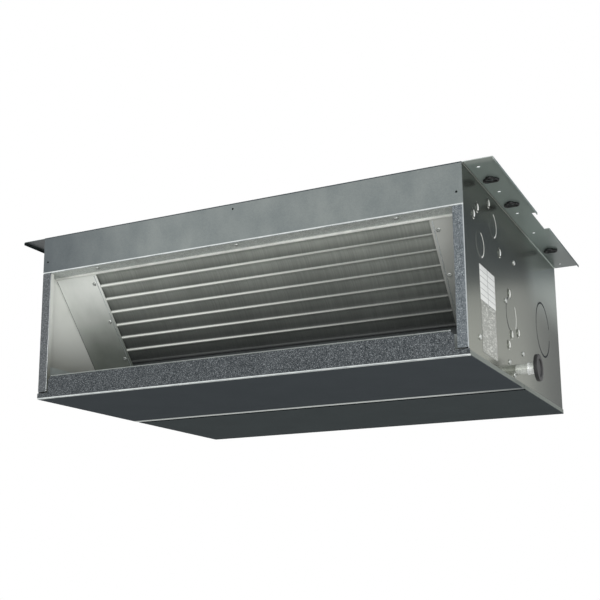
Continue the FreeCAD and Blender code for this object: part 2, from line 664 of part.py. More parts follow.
def filter_guides():
    """Two channels behind the rear plate that the air filter slides in."""
    half = INSIDE + " - gauge - seat_gap"
    x_range = ("-(%s)" % half, half)
    rear_wall = FILTER_BACK + " + seat_gap + gauge"
    front_wall = FILTER_BACK + " - filter_thickness - seat_gap - gauge"
    channels = []
    for low, high, slot_low, slot_high in (
            (FILTER_LOW + " - seat_gap - gauge", FILTER_LOW + " + guide_height",
             FILTER_LOW + " - seat_gap", FILTER_LOW + " + guide_height + gauge"),
            (FILTER_HIGH + " - guide_height", FILTER_HIGH + " + seat_gap + gauge",
             FILTER_HIGH + " - guide_height - gauge", FILTER_HIGH + " + seat_gap")):
        outer = block(x_range, (front_wall, rear_wall), (low, high))
        slot = block(("-casing_width", "casing_width"), (front_wall + " + gauge", rear_wall + " - gauge"),
                     (slot_low, slot_high))
        channels.append(cut(outer, [slot], "FilterChannel"))
    return group(channels, "FilterChannels")


def air_filter():
    """The sliding air filter: a barred frame, its media and the pull tab."""
    left = "(-casing_width / 2 + gauge + seat_gap)"
    right = "(casing_width / 2 - gauge - filter_short)"
    y_range = (FILTER_BACK + " - filter_thickness", FILTER_BACK)
    frame = block((left, right), y_range, (FILTER_LOW, FILTER_HIGH))
    bays = int(size("filter_bars")) + 1
    windows = []
    for bay in range(bays):
        pitch = "((%s - %s - filter_border) / %d)" % (right, left, bays)
        start = "%s + filter_border + %d * %s" % (left, bay, pitch)
        windows.append(block((start, "%s + %s - filter_border" % (start, pitch)),
                             (y_range[0] + " - gauge", y_range[1] + " + gauge"),
                             (FILTER_LOW + " + filter_border", FILTER_HIGH + " - filter_border")))
    middle = FILTER_BACK + " - filter_thickness / 2"
    pocket = block((left + " + filter_border / 2", right + " - filter_border / 2"),
                   (middle + " - media_thickness / 2", middle + " + media_thickness / 2"),
                   (FILTER_LOW + " + filter_border / 2", FILTER_HIGH + " - filter_border / 2"))
    border = "(filter_border / 2 + seat_gap)"
    half_media = "(media_thickness / 2 - seat_gap)"
    media = block((left + " + " + border, right + " - " + border),
                  (middle + " - " + half_media, middle + " + " + half_media),
                  (FILTER_LOW + " + " + border, FILTER_HIGH + " - " + border))
    centre = "(%s + %s) / 2" % (FILTER_LOW, FILTER_HIGH)
    tab = block((left + " - tab_length", left), (middle + " - gauge", middle + " + gauge"),
                (centre + " - tab_width / 2", centre + " + tab_width / 2"))
    finger = prism(SMALL_SIDES, "tab_hole", "4 * gauge", left + " - tab_length / 2", middle + " - 2 * gauge",
                   centre, ALONG_Y)
    return cut(frame, windows + [pocket], "FilterFrame"), media, cut(tab, [finger], "FilterTab")


def fan_deck():
    """The upright deck that carries the fans, with an outlet for each."""
    y_range = (at_depth("deck_depth"), DECK_BACK)
    high = "casing_height - top_flange - 2 * gauge"
    plate = block(("-(%s)" % INSIDE, INSIDE), y_range, (WEB_LOW, "casing_height - gauge - seat_gap"))
    corners = [block(sided(side, INSIDE + " - 2 * gauge", INSIDE + " + gauge"),
                     (at_depth("deck_depth") + " - gauge", DECK_BACK + " + gauge"),
                     (high, "casing_height + gauge")) for side in (RIGHT, LEFT)]
    flange_depth = (at_depth("deck_depth"), at_depth("deck_depth + deck_flange"))
    flanges = [block(sided(side, INSIDE + " - gauge", INSIDE), flange_depth, (WEB_LOW + " + edge_lip", high))
               for side in (RIGHT, LEFT)]
    tongue = scroll_tongue()
    openings = []
    for side in (RIGHT, LEFT):
        middle = "%d * wheel_centre" % side
        openings.append(block((middle + " - " + SCROLL_HALF, middle + " + " + SCROLL_HALF),
                              (at_depth("deck_depth") + " - gauge", DECK_BACK + " + gauge"),
                              ("shaft_height + %.6f * (wheel_radius + scroll_gap)" % tongue[1],
                               "shaft_height + scroll_end_radius")))
    return cut(fuse([cut(plate, corners, "DeckPlate")] + flanges, "DeckFolded"), openings, "FanDeck")


TONGUE_ANGLE = 150.0
SCROLL_SWEEP = 300.0
SCROLL_ARCS = 5



def scroll_tongue():
    """Direction of the scroll's tongue from the shaft, as a unit vector in Y and Z."""
    angle = math.radians(TONGUE_ANGLE)
    return math.cos(angle), math.sin(angle)


def scroll_solid(side, grow, outlet_end):
    """The scroll's filled form, grown on all sides: a log spiral, the wheel's disc and the outlet duct.

    The spiral's radius grows by the same share with every degree from the tongue, round the rear, to the
    top. Each of its arcs passes through three points of that spiral.
    """
    start_radius = size("wheel_radius") + size("scroll_gap")
    end_radius = size("scroll_end_radius")
    half = size("wheel_width") / 2 + size("scroll_side_gap") + grow
    centre = Vector(side * size("wheel_centre") - half, size("shaft_depth") - size("casing_depth") / 2,
                    size("shaft_height"))
    growth = math.log(end_radius / start_radius) / SCROLL_SWEEP
    points = []
    for step in range(2 * SCROLL_ARCS + 1):
        turn = SCROLL_SWEEP * step / (2 * SCROLL_ARCS)
        radius = start_radius * math.exp(growth * turn) + grow
        angle = math.radians(TONGUE_ANGLE + turn)
        points.append(centre + Vector(0, radius * math.cos(angle), radius * math.sin(angle)))
    spiral = [Part.Arc(*points[start:start + 3]).toShape() for start in range(0, 2 * SCROLL_ARCS, 2)]
    outline = Part.Wire(spiral + [Part.makeLine(points[-1], centre), Part.makeLine(centre, points[0])])
    wrap = Part.Face(outline).extrude(Vector(2 * half, 0, 0))
    disc = Part.makeCylinder(start_radius + grow, 2 * half, centre, Vector(1, 0, 0))
    low = centre.z + start_radius * scroll_tongue()[1] - grow
    duct = Part.makeBox(2 * half, centre.y - outlet_end, centre.z + end_radius + grow - low,
                        Vector(centre.x, outlet_end, low))
    return wrap.fuse([disc, duct])


def scroll_housing(side):
    """A scroll housing: spiral wrap, two side plates with round inlets, and the outlet's flange."""
    gauge = size("gauge")
    half = size("wheel_width") / 2 + size("scroll_side_gap")
    outlet_end = size("deck_depth") - size("casing_depth") / 2 + gauge + size("seat_gap")
    middle = side * size("wheel_centre")
    low = size("shaft_height") + (size("wheel_radius") + size("scroll_gap")) * scroll_tongue()[1]
    high = size("shaft_height") + size("scroll_end_radius")
    rim = size("scroll_rim")
    flange = Part.makeBox(2 * (half + rim), gauge, high - low + 2 * rim,
                          Vector(middle - half - rim, outlet_end, low - rim))
    shaft_y = size("shaft_depth") - size("casing_depth") / 2
    inlet_face = Part.Face(regular_outline(MOTOR_SIDES, size("scroll_inlet"), middle - half - 3 * gauge))
    inlets = inlet_face.extrude(Vector(2 * half + 6 * gauge, 0, 0))
    inlets.translate(Vector(0, shaft_y, size("shaft_height")))
    shell = scroll_solid(side, gauge, outlet_end).fuse(flange)
    hollow = scroll_solid(side, 0, outlet_end - 2 * gauge)
    housing = shell.cut(hollow).cut(inlets)
    return computed(housing.removeSplitter().Solids[0], "ScrollHousing")


def regular_outline(sides, radius, x):
    """A closed regular outline across X; the radius reaches its corners."""
    corners = []
    for number in range(sides + 1):
        angle = 2 * math.pi * number / sides
        corners.append(Vector(x, radius * math.cos(angle), radius * math.sin(angle)))
    return Part.Wire(Part.makePolygon(corners))


def fan_wheel(side):
    """A double-inlet fan wheel: forward-curved blades through a centre disc, and two end rings.

    Each blade is folded once along its middle, so its tip leads its root and its middle trails. The rings
    and the disc have one straight side per blade.
    """
    count = int(size("blade_count"))
    width = size("wheel_width")
    outer = size("wheel_radius")
    inner = size("wheel_inner")
    gauge = size("blade_gauge")
    middle = (inner + outer) / 2
    thick = math.degrees(gauge / middle)

    def polar(radius, angle):
        return Vector(0, radius * math.cos(math.radians(angle)), radius * math.sin(math.radians(angle)))

    lead, sag = size("blade_lead"), size("blade_sag")
    blades = []
    for number in range(count):
        turn = 360.0 * number / count
        back = [polar(inner, turn), polar(middle, turn + lead / 2 - sag), polar(outer, turn + lead)]
        front = [polar(outer, turn + lead + thick), polar(middle, turn + thick + lead / 2 - sag),
                 polar(inner, turn + thick)]
        outline = Part.Wire(Part.makePolygon(back + front + back[:1]))
        blades.append(Part.Face(outline).extrude(Vector(width, 0, 0)))
    axis = Vector(1, 0, 0)
    ring_gauge = 2 * gauge
    plate = Vector(ring_gauge, 0, 0)
    rim = (outer + size("ring_margin")) / math.cos(math.pi / count)
    disc = Part.Face(regular_outline(count, rim, (width - ring_gauge) / 2)).extrude(plate)
    hub_start = (width - size("hub_length")) / 2
    hub_face = Part.Face(regular_outline(ROUND_SIDES, size("hub_radius"), hub_start))
    hub = hub_face.extrude(Vector(size("hub_length"), 0, 0))
    bore = Part.makeCylinder(size("shaft_radius"), width, Vector(0, 0, 0), axis)
    rings = []
    for start in (0, width - ring_gauge):
        solid = Part.Face(regular_outline(count, rim, start)).extrude(plate)
        hole = Part.Face(regular_outline(count, inner - size("ring_margin"), start)).extrude(plate)
        rings.append(solid.cut(hole))
    wheel = disc.fuse([hub] + rings + blades).cut(bore)
    feature = computed(wheel.removeSplitter().Solids[0], "FanWheel")
    return place(feature, "%d * wheel_centre - wheel_width / 2" % side, SHAFT_Y, "shaft_height")


def motor():
    """The motor's pieces: shell, end bells, bearings, stator, rotor core and the through shaft."""
    half = "(motor_length / 2)"
    shell = tube("motor_radius", "motor_radius - motor_wall", "motor_length - 2 * motor_wall",
                 "-%s + motor_wall" % half, SHAFT_Y, "shaft_height", sides=MOTOR_SIDES)
    bells = []
    bearings = []
    for side in (RIGHT, LEFT):
        low, _ = sided(side, half + " - motor_wall", half)
        plate = prism(MOTOR_SIDES, "motor_radius", "motor_wall", low, SHAFT_Y, "shaft_height")
        boss_low, _ = sided(side, half + " - motor_wall", half + " + boss_length")
        boss = rod("boss_radius", "boss_length + motor_wall", boss_low, SHAFT_Y, "shaft_height")
        seat_low, _ = sided(side, half + " - 2 * motor_wall", half + " + boss_length + motor_wall")
        seat = prism(MOTOR_SIDES, "bearing_radius + press_gap", "boss_length + 3 * motor_wall", seat_low,
                     SHAFT_Y, "shaft_height")
        bells.append(cut(fuse([plate, boss], "EndBell"), [seat], "EndBellBored"))
        bearing_low, _ = sided(side, half + " + boss_length - bearing_width", half + " + boss_length")
        race = prism(MOTOR_SIDES, "bearing_radius", "bearing_width", bearing_low, SHAFT_Y, "shaft_height")
        bore = rod("shaft_radius + running_gap", "bearing_width + 2 * gauge", bearing_low + " - gauge",
                   SHAFT_Y, "shaft_height")
        bearings.append(cut(race, [bore], "Bearing"))
    stator = cut(prism(MOTOR_SIDES, "motor_radius - motor_wall - press_gap", "core_length",
                       "-core_length / 2", SHAFT_Y, "shaft_height"),
                 [rod("core_radius + air_gap", "core_length + 2 * gauge", "-core_length / 2 - gauge", SHAFT_Y,
                      "shaft_height")], "Stator")
    core = cut(prism(MOTOR_SIDES, "core_radius", "core_length", "-core_length / 2", SHAFT_Y, "shaft_height"),
               [rod("shaft_radius", "core_length + 2 * gauge", "-core_length / 2 - gauge", SHAFT_Y,
                    "shaft_height")], "RotorCore")
    shaft_end = "(wheel_centre + hub_length / 2 + shaft_overhang)"
    shaft = rod("shaft_radius", "2 * " + shaft_end, "-" + shaft_end, SHAFT_Y, "shaft_height")
    return shell, group(bells, "EndBells"), group(bearings, "Bearings"), stator, core, shaft


def motor_mount():
    """The rubber rings on the motor's bosses and the cradle that holds them to the fan deck."""
    half = "(motor_length / 2)"
    rings = []
    uprights = []
    holes = []
    shelf_top = "(shaft_height - cradle_drop)"
    upright_top = "shaft_height + boss_radius + mount_ring + cradle_top"
    upright_start = half + " + ring_start + (ring_length - cradle_gauge) / 2"
    for side in (RIGHT, LEFT):
        ring_low, _ = sided(side, half + " + ring_start", half + " + ring_start + ring_length")
        block_round = prism(SMALL_SIDES, "boss_radius + mount_ring", "ring_length", ring_low, SHAFT_Y,
                            "shaft_height")
        bore = prism(MOTOR_SIDES, "boss_radius + seat_gap", "ring_length + 2 * gauge", ring_low + " - gauge",
                     SHAFT_Y, "shaft_height")
        rings.append(cut(block_round, [bore], "MountRing"))
        plate = sided(side, upright_start, upright_start + " + cradle_gauge")
        uprights.append(block(plate, (SHAFT_Y + " - cradle_width / 2", SHAFT_Y + " + cradle_width / 2"),
                              (shelf_top + " - cradle_gauge", upright_top)))
        holes.append(prism(SMALL_SIDES, "boss_radius + mount_ring + seat_gap", "3 * cradle_gauge",
                           plate[0] + " - cradle_gauge", SHAFT_Y, "shaft_height"))
    reach = "(%s + cradle_gauge)" % upright_start
    x_range = ("-" + reach, reach)
    shelf = block(x_range, (DECK_BACK + " + seat_gap", SHAFT_Y + " + cradle_width / 2"),
                  (shelf_top + " - cradle_gauge", shelf_top))
    foot = block(x_range, (DECK_BACK + " + seat_gap", DECK_BACK + " + seat_gap + cradle_gauge"),
                 (shelf_top + " - cradle_foot", shelf_top))
    return group(rings, "MountRings"), cut(fuse([shelf, foot] + uprights, "Cradle"), holes, "CradleBored")


def fin_pack():
    """The coil's fin pack, with a hollow along its face and back between neighbouring ridges."""
    pack = coil_block((COIL_LEFT, COIL_RIGHT), ("0", COIL_THICK), ("0", COIL_LENGTH), "FinBlock")
    radius = "((tube_pitch / 2) * (tube_pitch / 2) / (2 * fin_scallop) + fin_scallop / 2)"
    hollows = []
    for number in range(int(size("tubes_high"))):
        down = "tube_pitch * (%d + 0.5)" % number
        for behind in ("fin_scallop - " + radius, COIL_THICK + " - fin_scallop + " + radius):
            y, z = on_coil(behind, down)
            hollows.append(rod(radius, "casing_width", "-casing_width / 2", y, z))
    return cut(pack, hollows, "FinPack")


def coil_end(side):
    """How far the coil's end lies from the middle of the unit."""
    return "(casing_width / 2 - %s)" % ("coil_right_space" if side == RIGHT else "coil_left_space")


def coil_end_plate(side):
    """A coil end plate: a frame round the tube ends, with a flange turned outward at the coil's face."""
    face = coil_end(side)
    near, far = face + " + seat_gap", face + " + seat_gap + end_plate_gauge"
    plate = coil_block(sided(side, near, far), ("0", COIL_THICK), ("0", COIL_LENGTH))
    flange = coil_block(sided(side, near, face + " + seat_gap + end_plate_flange"), ("0", "end_plate_gauge"),
                        ("0", COIL_LENGTH))
    window = coil_block(sided(side, face, face + " + 3 * end_plate_gauge"),
                        ("end_plate_border", COIL_THICK + " - end_plate_border"),
                        ("end_plate_border", COIL_LENGTH + " - end_plate_border"))
    return cut(fuse([plate, flange], "CoilEnd"), [window], "CoilEndPlate")


def blanking_plate(side):
    """The leaning plate that closes the space between the coil and a side panel."""
    face = coil_end(side)
    behind = ("-gauge - seat_gap", "-seat_gap")
    down = ("0", "blank_length")
    front = coil_block(sided(side, face + " - blank_overlap", INSIDE), behind, down)
    wing = coil_block(sided(side, INSIDE + " - gauge", INSIDE), ("-gauge - seat_gap", "blank_return"), down)
    plate = fuse([front, wing], "BlankingPlate")
    if side == RIGHT:
        return plate
    y, z = on_coil("row_pitch * 0.5", "inlet_slant")
    notch = rod("stub_radius + gauge", "4 * gauge", "-%s - gauge" % INSIDE, y, z)
    recess = coil_block(("-%s - gauge" % INSIDE, "-%s + 3 * gauge" % INSIDE),
                        ("row_pitch * 0.5", "row_pitch"),
                        ("inlet_slant - stub_radius - gauge", "inlet_slant + stub_radius + gauge"))
    return cut(plate, [notch, recess], "BlankingPlateNotched")


def return_bends():
    """The nine hairpin bends that join the coil's two tube rows at its right end.

    Each is an eight-sided tube on a path of two legs and a half turn in short chords, in the coil's own
    directions: out from its end, and from the front row to the rear row.
    """
    turn_radius = size("row_pitch") / 2
    leg = size("bend_leg")
    path = [Vector(0, -turn_radius, 0)]
    for step in range(BEND_CHORDS + 1):
        angle = math.pi * (step / BEND_CHORDS - 0.5)
        path.append(Vector(leg + turn_radius * math.cos(angle), turn_radius * math.sin(angle), 0))
    path.append(Vector(0, turn_radius, 0))
    section = []
    for step in range(SMALL_SIDES + 1):
        angle = 2 * math.pi * step / SMALL_SIDES
        section.append(path[0] + Vector(0, math.cos(angle), math.sin(angle)) * size("tube_radius"))
    pipe = Part.makePolygon(path).makePipeShell([Part.makePolygon(section)], True, False, 1)
    bends = []
    for number in range(int(size("tubes_high"))):
        down = "tube_pitch * (%d + 0.5)" % number
        y, z = on_coil("row_pitch", down)
        bend = computed(pipe, "ReturnBend")
        place(bend, COIL_RIGHT + " + seat_gap", y, z, Rotation(Vector(1, 0, 0), 1))
        bind(bend, ".Placement.Rotation.Angle", "coil_angle")
        bends.append(bend)
    return group(bends, "ReturnBends")


def manifold(row):
    """A copper manifold beside one tube row, with a feeder to each tube."""
    behind = "row_pitch * (%d + 0.5)" % row
    x = COIL_LEFT + " - manifold_gap"
    pipe = prism(ROUND_SIDES, "manifold_radius", COIL_LENGTH + " - tube_pitch / 2", x, "0", "0", ALONG_Z,
                 "ManifoldPipe")
    leaned(pipe, x, behind, COIL_LENGTH + " - tube_pitch / 4")
    feeders = []
    for number in range(int(size("tubes_high"))):
        y, z = on_coil(behind, "tube_pitch * (%d + 0.5)" % number)
        feeders.append(prism(6, "feeder_radius", "manifold_gap - seat_gap", x, y, z, name="Feeder"))
    return pipe, feeders, x


def water_side(row, slant):
    """One water connection: manifold with feeders and stub, and the union on the stub's end."""
    pipe, feeders, x = manifold(row)
    y, z = on_coil("row_pitch * (%d + 0.5)" % row, slant)
    end = "(-casing_width / 2 - stub_reach)"
    stub = rod("stub_radius", "%s - %s" % (x, end), end, y, z)
    bore = rod("stub_radius - 1.5", "%s - %s + gauge" % (x, end), end + " - gauge", y, z)
    pipework = cut(fuse([pipe, stub] + feeders, "Manifold"), [bore], "ManifoldBored")
    union_end = end + " - union_length - seat_gap"
    union = prism(6, "union_flats / sqrt(3)", "union_length", union_end, y, z, name="UnionHexagon")
    socket = rod("union_bore", "union_length + 2 * gauge", union_end + " - gauge", y, z)
    return pipework, cut(union, [socket], "Union"), y, z


def valve(side, y, z):
    """A small valve on a water stub, upright with side 1 or hanging with side -1: body and knob."""
    x = "(-casing_width / 2 - stub_reach / 2)"
    turn = ALONG_Z if side == 1 else Rotation(Vector(1, 0, 0), 180)
    base = "%s + %d * (stub_radius - valve_seat)" % (z, side)
    body = prism(6, "valve_radius", "valve_height", x, y, base, turn, "ValveBody")
    top = "%s + %d * (stub_radius - valve_seat + valve_height + seat_gap)" % (z, side)
    return body, prism(ROUND_SIDES, "knob_radius", "knob_height", x, y, top, turn, "Knob")


def drain_pan():
    """The drain pan with its low front wall, and the foam that it stands on."""
    half = "(casing_width / 2 - gauge - pan_side_gap)"
    y_range = (at_depth("pan_start"), at_depth("deck_depth - pan_clearance"))
    base = "(gauge + pan_foam)"
    outer = block(("-" + half, half), y_range, (base, "pan_height"))
    inner = block(("-%s + gauge" % half, half + " - gauge"),
                  (y_range[0] + " + gauge", y_range[1] + " - gauge"),
                  (base + " + gauge", "pan_height + gauge"))
    front = block(("-casing_width", "casing_width"), (y_range[0] + " - gauge", y_range[0] + " + 2 * gauge"),
                  ("pan_front_height", "pan_height + gauge"))
    hole = rod("drain_tube_radius + press_gap", "4 * gauge", half + " - 2 * gauge", at_depth("drain_depth"),
               "drain_height")
    foam = block(("-" + half, half), y_range, ("gauge", base))
    return cut(outer, [inner, front, hole], "DrainPan"), foam


def drain_outlet():
    """The drain tube with its ferrule, and the rubber cap pushed over the end."""
    y = at_depth("drain_depth")
    start = "(casing_width / 2 - gauge - pan_side_gap - gauge)"
    end = "(casing_width / 2 + drain_reach)"
    pipe = rod("drain_tube_radius", "%s - %s" % (end, start), start, y, "drain_height")
    ferrule_start = "%s - ferrule_length - cap_socket" % end
    ferrule = prism(MOTOR_SIDES, "ferrule_radius", "ferrule_length", ferrule_start, y, "drain_height")
    bore = prism(MOTOR_SIDES, "drain_bore_radius", "%s - %s + 2 * gauge" % (end, start),
                 start + " - gauge", y, "drain_height")
    stub = cut(fuse([pipe, ferrule], "DrainTube"), [bore], "DrainStub")
    rim_start = "(%s - cap_socket + seat_gap)" % end
    rim = rod("cap_radius", "cap_thickness", rim_start, y, "drain_height")
    recess = prism(2 * MOTOR_SIDES, "cap_recess_radius", "cap_thickness",
                   rim_start + " + cap_web + cap_socket", y, "drain_height")
    socket = prism(MOTOR_SIDES, "drain_tube_radius + seat_gap", "cap_socket + gauge", rim_start + " - gauge",
                   y, "drain_height")
    return stub, cut(rim, [recess, socket], "DrainCap")


def electrical_box():
    """The electrical box on the left side: tray, cover, terminal block, capacitor and cable glands."""
    back = "(-casing_width / 2 - seat_gap)"
    front = "(%s - box_depth)" % back
    y_range = (at_depth("box_start"), at_depth("box_start + box_length"))
    z_range = ("box_base", "box_base + box_height")
    outer = block((front, back), y_range, z_range)
    inner = block((front + " - gauge", back + " - gauge"),
                  (y_range[0] + " + gauge", y_range[1] + " - gauge"),
                  (z_range[0] + " + gauge", z_range[1] + " - gauge"))
    gland_x = "(%s + box_depth / 2)" % front
    gland_places = [at_depth("box_start + box_length * %g" % share) for share in GLAND_SHARES]
    holes = [prism(ROUND_SIDES, "gland_neck + seat_gap", "4 * gauge", gland_x, y, "box_base - 2 * gauge",
                   ALONG_Z) for y in gland_places]
    cable_hole = prism(ROUND_SIDES, "gland_radius", "4 * gauge", back + " - 2 * gauge",
                       at_depth("box_start + cable_inset"), "box_base + box_height / 2")
    tray = cut(outer, [inner, cable_hole] + holes, "BoxTray")
    lid = block((front + " - seat_gap - gauge", front + " - seat_gap"), y_range, z_range)
    glands = []
    for y in gland_places:
        nut = prism(6, "gland_radius", "gland_length / 2", gland_x, y,
                    "box_base - gland_length / 2 - seat_gap", ALONG_Z, "GlandNut")
        neck = prism(ROUND_SIDES, "gland_neck", "gland_length + 4 * gauge", gland_x, y,
                     "box_base - gland_length", ALONG_Z)
        hole = prism(SMALL_SIDES, "gland_bore", "gland_length + 6 * gauge", gland_x, y,
                     "box_base - gland_length - gauge", ALONG_Z)
        glands.append(cut(fuse([nut, neck], "Gland"), [hole], "GlandBored"))
    block_y = at_depth("box_start + box_length / 2")
    base_x = back + " - gauge - seat_gap"
    terminal = block((base_x + " - terminal_depth", base_x),
                     (block_y + " - terminal_length / 2", block_y + " + terminal_length / 2"),
                     ("box_base + terminal_rise", "box_base + terminal_rise + terminal_depth"))
    grooves = []
    for number in range(int(size("terminal_ways")) + 1):
        middle = "(%s - terminal_length / 2 + terminal_length * %d / terminal_ways)" % (block_y, number)
        grooves.append(block((base_x + " - terminal_depth - gauge", base_x + " - terminal_depth * 2 / 3"),
                             (middle + " - gauge", middle + " + gauge"),
                             ("box_base", "box_base + box_height / 2")))
    capacitor = prism(ROUND_SIDES, "capacitor_radius", "capacitor_length", base_x + " - capacitor_radius",
                      at_depth("box_start + box_length / 3"),
                      "box_base + box_height - capacitor_radius * 3 / 2", ALONG_Y, "Capacitor")
    return (tray, lid, group(glands, "Glands"), cut(terminal, grooves, "Terminals"), capacitor)


def screw_head(x, y, z, axis):
    """A low screw or rivet head that stands on a face."""
    return prism(SMALL_SIDES, "screw_radius", "screw_height", x, y, z, axis, "ScrewHead")


def casing_screws():
    """The screw and rivet heads that show on the casing."""
    down = Rotation(Vector(1, 0, 0), 180)
    heads = [screw_head("%g" % x, FRONT + " + header_screw_depth", HEADER_LOW + " - press_gap", down)
             for x in HEADER_SCREWS]
    for side, axis in ((RIGHT, ALONG_X), (LEFT, Rotation(Vector(0, 1, 0), -90))):
        for depth, share in SIDE_RIVETS if side == RIGHT else SIDE_RIVETS[2:]:
            heads.append(screw_head("%d * (casing_width / 2 + press_gap)" % side, at_depth(depth),
                                    at_share(share), axis))
    return group(heads, "ScrewHeads")


def coil_screws():
    """The screws that hold the blanking plates to the coil's end plates."""
    heads = []
    for side in (RIGHT, LEFT):
        face = coil_end(side)
        for down in COIL_SCREWS:
            head = prism(6, "coil_screw_radius", "coil_screw_height", "0", "0", "0", ALONG_Z, "CoilScrew")
            x = "%d * (%s + end_plate_flange / 2)" % (side, face)
            leaned(head, x, "-gauge - seat_gap - press_gap", "%g" % down, turn=90)
            heads.append(head)
    return group(heads, "CoilScrews")


def isolator_pads():
    """The rubber pads on the hanging flanges, each with a hole over its keyhole."""
    pads = []
    for side in (RIGHT, LEFT):
        for depth in KEYHOLES:
            centre = "%d * (casing_width / 2 + keyhole_offset)" % side
            y = at_depth(depth)
            body = block((centre + " - pad_size / 2", centre + " + pad_size / 2"),
                         (y + " - pad_size / 2", y + " + pad_size / 2"),
                         ("casing_height", "casing_height + pad_thickness"))
            hole = prism(SMALL_SIDES, "keyhole_width / 2", "pad_thickness + 2 * gauge", centre, y,
                         "casing_height - gauge", ALONG_Z)
            pads.append(cut(body, [hole], "IsolatorPad"))
    return group(pads, "IsolatorPads")


# Casing

keep(side_panel(RIGHT), "side_panel_right")
keep(side_panel(LEFT), "side_panel_left")
keep(hanging_flange(RIGHT), "hanging_flange_right")
keep(hanging_flange(LEFT), "hanging_flange_left")
keep(top_panel(), "top_panel")
keep(front_header(), "front_header")
keep(front_pan(), "front_bottom_panel")
keep(rear_pan(), "rear_access_panel")
keep(rear_frame(), "rear_frame")
keep(fan_deck(), "fan_deck")
keep(isolator_pads(), "isolator_pads")
keep(casing_screws(), "casing_screws")

# Drain

pan, foam = drain_pan()
keep(pan, "drain_pan")
keep(foam, "drain_pan_foam")
stub, cap = drain_outlet()
keep(stub, "drain_stub")
keep(cap, "drain_cap")

# Coil and water connections

keep(fin_pack(), "coil_fin_pack")
keep(coil_end_plate(RIGHT), "coil_end_plate_right")
keep(coil_end_plate(LEFT), "coil_end_plate_left")
keep(blanking_plate(RIGHT), "blanking_plate_right")
keep(blanking_plate(LEFT), "blanking_plate_left")
keep(return_bends(), "coil_return_bends")
keep(coil_screws(), "coil_screws")
inlet_pipe, inlet_union, inlet_y, inlet_z = water_side(0, "inlet_slant")
outlet_pipe, outlet_union, outlet_y, outlet_z = water_side(1, "outlet_slant")
keep(inlet_pipe, "inlet_manifold")
keep(outlet_pipe, "outlet_manifold")
keep(inlet_union, "inlet_union")
keep(outlet_union, "outlet_union")
vent_body, vent_knob = valve(1, outlet_y, outlet_z)
keep(vent_body, "air_vent_body")
keep(vent_knob, "air_vent_knob")
drain_body, drain_knob = valve(-1, inlet_y, inlet_z)
keep(drain_body, "coil_drain_body")
keep(drain_knob, "coil_drain_knob")

# Fans and motor

keep(scroll_housing(RIGHT), "scroll_housing_right")
keep(scroll_housing(LEFT), "scroll_housing_left")
keep(fan_wheel(RIGHT), "fan_wheel_right")
keep(fan_wheel(LEFT), "fan_wheel_left")
shell, bells, bearings, stator, core, shaft = motor()
keep(shell, "motor_shell")
keep(bells, "motor_end_bells")
keep(bearings, "motor_bearings")
keep(stator, "motor_stator")
keep(core, "motor_rotor_core")
keep(shaft, "fan_shaft")
rings, cradle = motor_mount()
keep(rings, "motor_mount_rings")
keep(cradle, "motor_cradle")

# Filter

filter_frame, filter_media, filter_tab = air_filter()
keep(filter_guides(), "filter_guides")
keep(filter_frame, "filter_frame")
keep(filter_media, "filter_media")
keep(filter_tab, "filter_pull_tab")

# Electrical box

tray, lid, glands, terminal, capacitor = electrical_box()
keep(tray, "electrical_box")
keep(lid, "electrical_box_cover")
keep(glands, "cable_glands")
keep(terminal, "terminal_block")
keep(capacitor, "run_capacitor")

doc.recompute()

faults = []
for feature in doc.Objects:
    if "Invalid" in feature.State or "Error" in feature.State:
        faults.append("%s (%s): %s" % (feature.Label, feature.Name, feature.State))
for feature in parts:
    if feature.Shape.isNull() or not feature.Shape.isValid() or not feature.Shape.Solids:
        faults.append("%s: no valid solid" % feature.Label)
if faults:
    raise RuntimeError("faulty features: " + "; ".join(faults))

os.makedirs("parts", exist_ok=True)
for feature in parts:
    feature.Shape.exportStep(os.path.join("parts", feature.Label + ".step"))
    solids = len(feature.Shape.Solids)
    print("%-24s solids %2d  volume %12.1f" % (feature.Label, solids, feature.Shape.Volume))
print("sub-parts:", len(parts))
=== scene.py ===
"""The looks of a ceiling-hung fan coil unit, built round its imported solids.

Sizes are in millimetres, in the frame of the solids: the origin is in the middle of the casing's underside,
+X is the drain side, -Y the air outlet and +Z up. Meshes are scaled to metres when they are made. The studio
alone is laid out in metres.
"""

import logging
import math
from dataclasses import dataclass, field, replace
from enum import Enum
from typing import Optional, Union

import bmesh
import bpy
import numpy as np
from mathutils import Matrix, Vector
from numpy.typing import ArrayLike, NDArray


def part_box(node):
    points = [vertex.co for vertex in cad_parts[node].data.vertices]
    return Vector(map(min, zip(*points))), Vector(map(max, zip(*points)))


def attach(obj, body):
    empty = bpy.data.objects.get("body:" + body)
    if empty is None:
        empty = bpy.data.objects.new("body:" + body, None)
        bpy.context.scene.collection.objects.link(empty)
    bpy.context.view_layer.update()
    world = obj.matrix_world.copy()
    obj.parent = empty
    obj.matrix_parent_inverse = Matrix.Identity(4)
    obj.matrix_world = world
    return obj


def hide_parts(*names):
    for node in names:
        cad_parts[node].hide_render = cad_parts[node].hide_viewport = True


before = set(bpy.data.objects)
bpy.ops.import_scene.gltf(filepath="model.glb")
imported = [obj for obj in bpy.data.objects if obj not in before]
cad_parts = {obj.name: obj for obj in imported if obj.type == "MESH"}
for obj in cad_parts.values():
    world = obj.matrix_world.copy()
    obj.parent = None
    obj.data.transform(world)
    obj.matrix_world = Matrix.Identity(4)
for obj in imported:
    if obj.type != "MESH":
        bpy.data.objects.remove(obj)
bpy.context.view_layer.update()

MM = 0.001
SAME_POINT = 2e-6
SLIVER = 1e-7
NEARLY_HALF = 0.45
ALONG_X = (1, 0, 0)
LOG = logging.getLogger("fan_coil_unit")

Array = NDArray[np.float64]
Numbers = NDArray[np.int64]
Socket = bpy.types.NodeSocket
Value = Union[float, Socket]
Span = tuple[float, float]
Point = tuple[float, float, float]


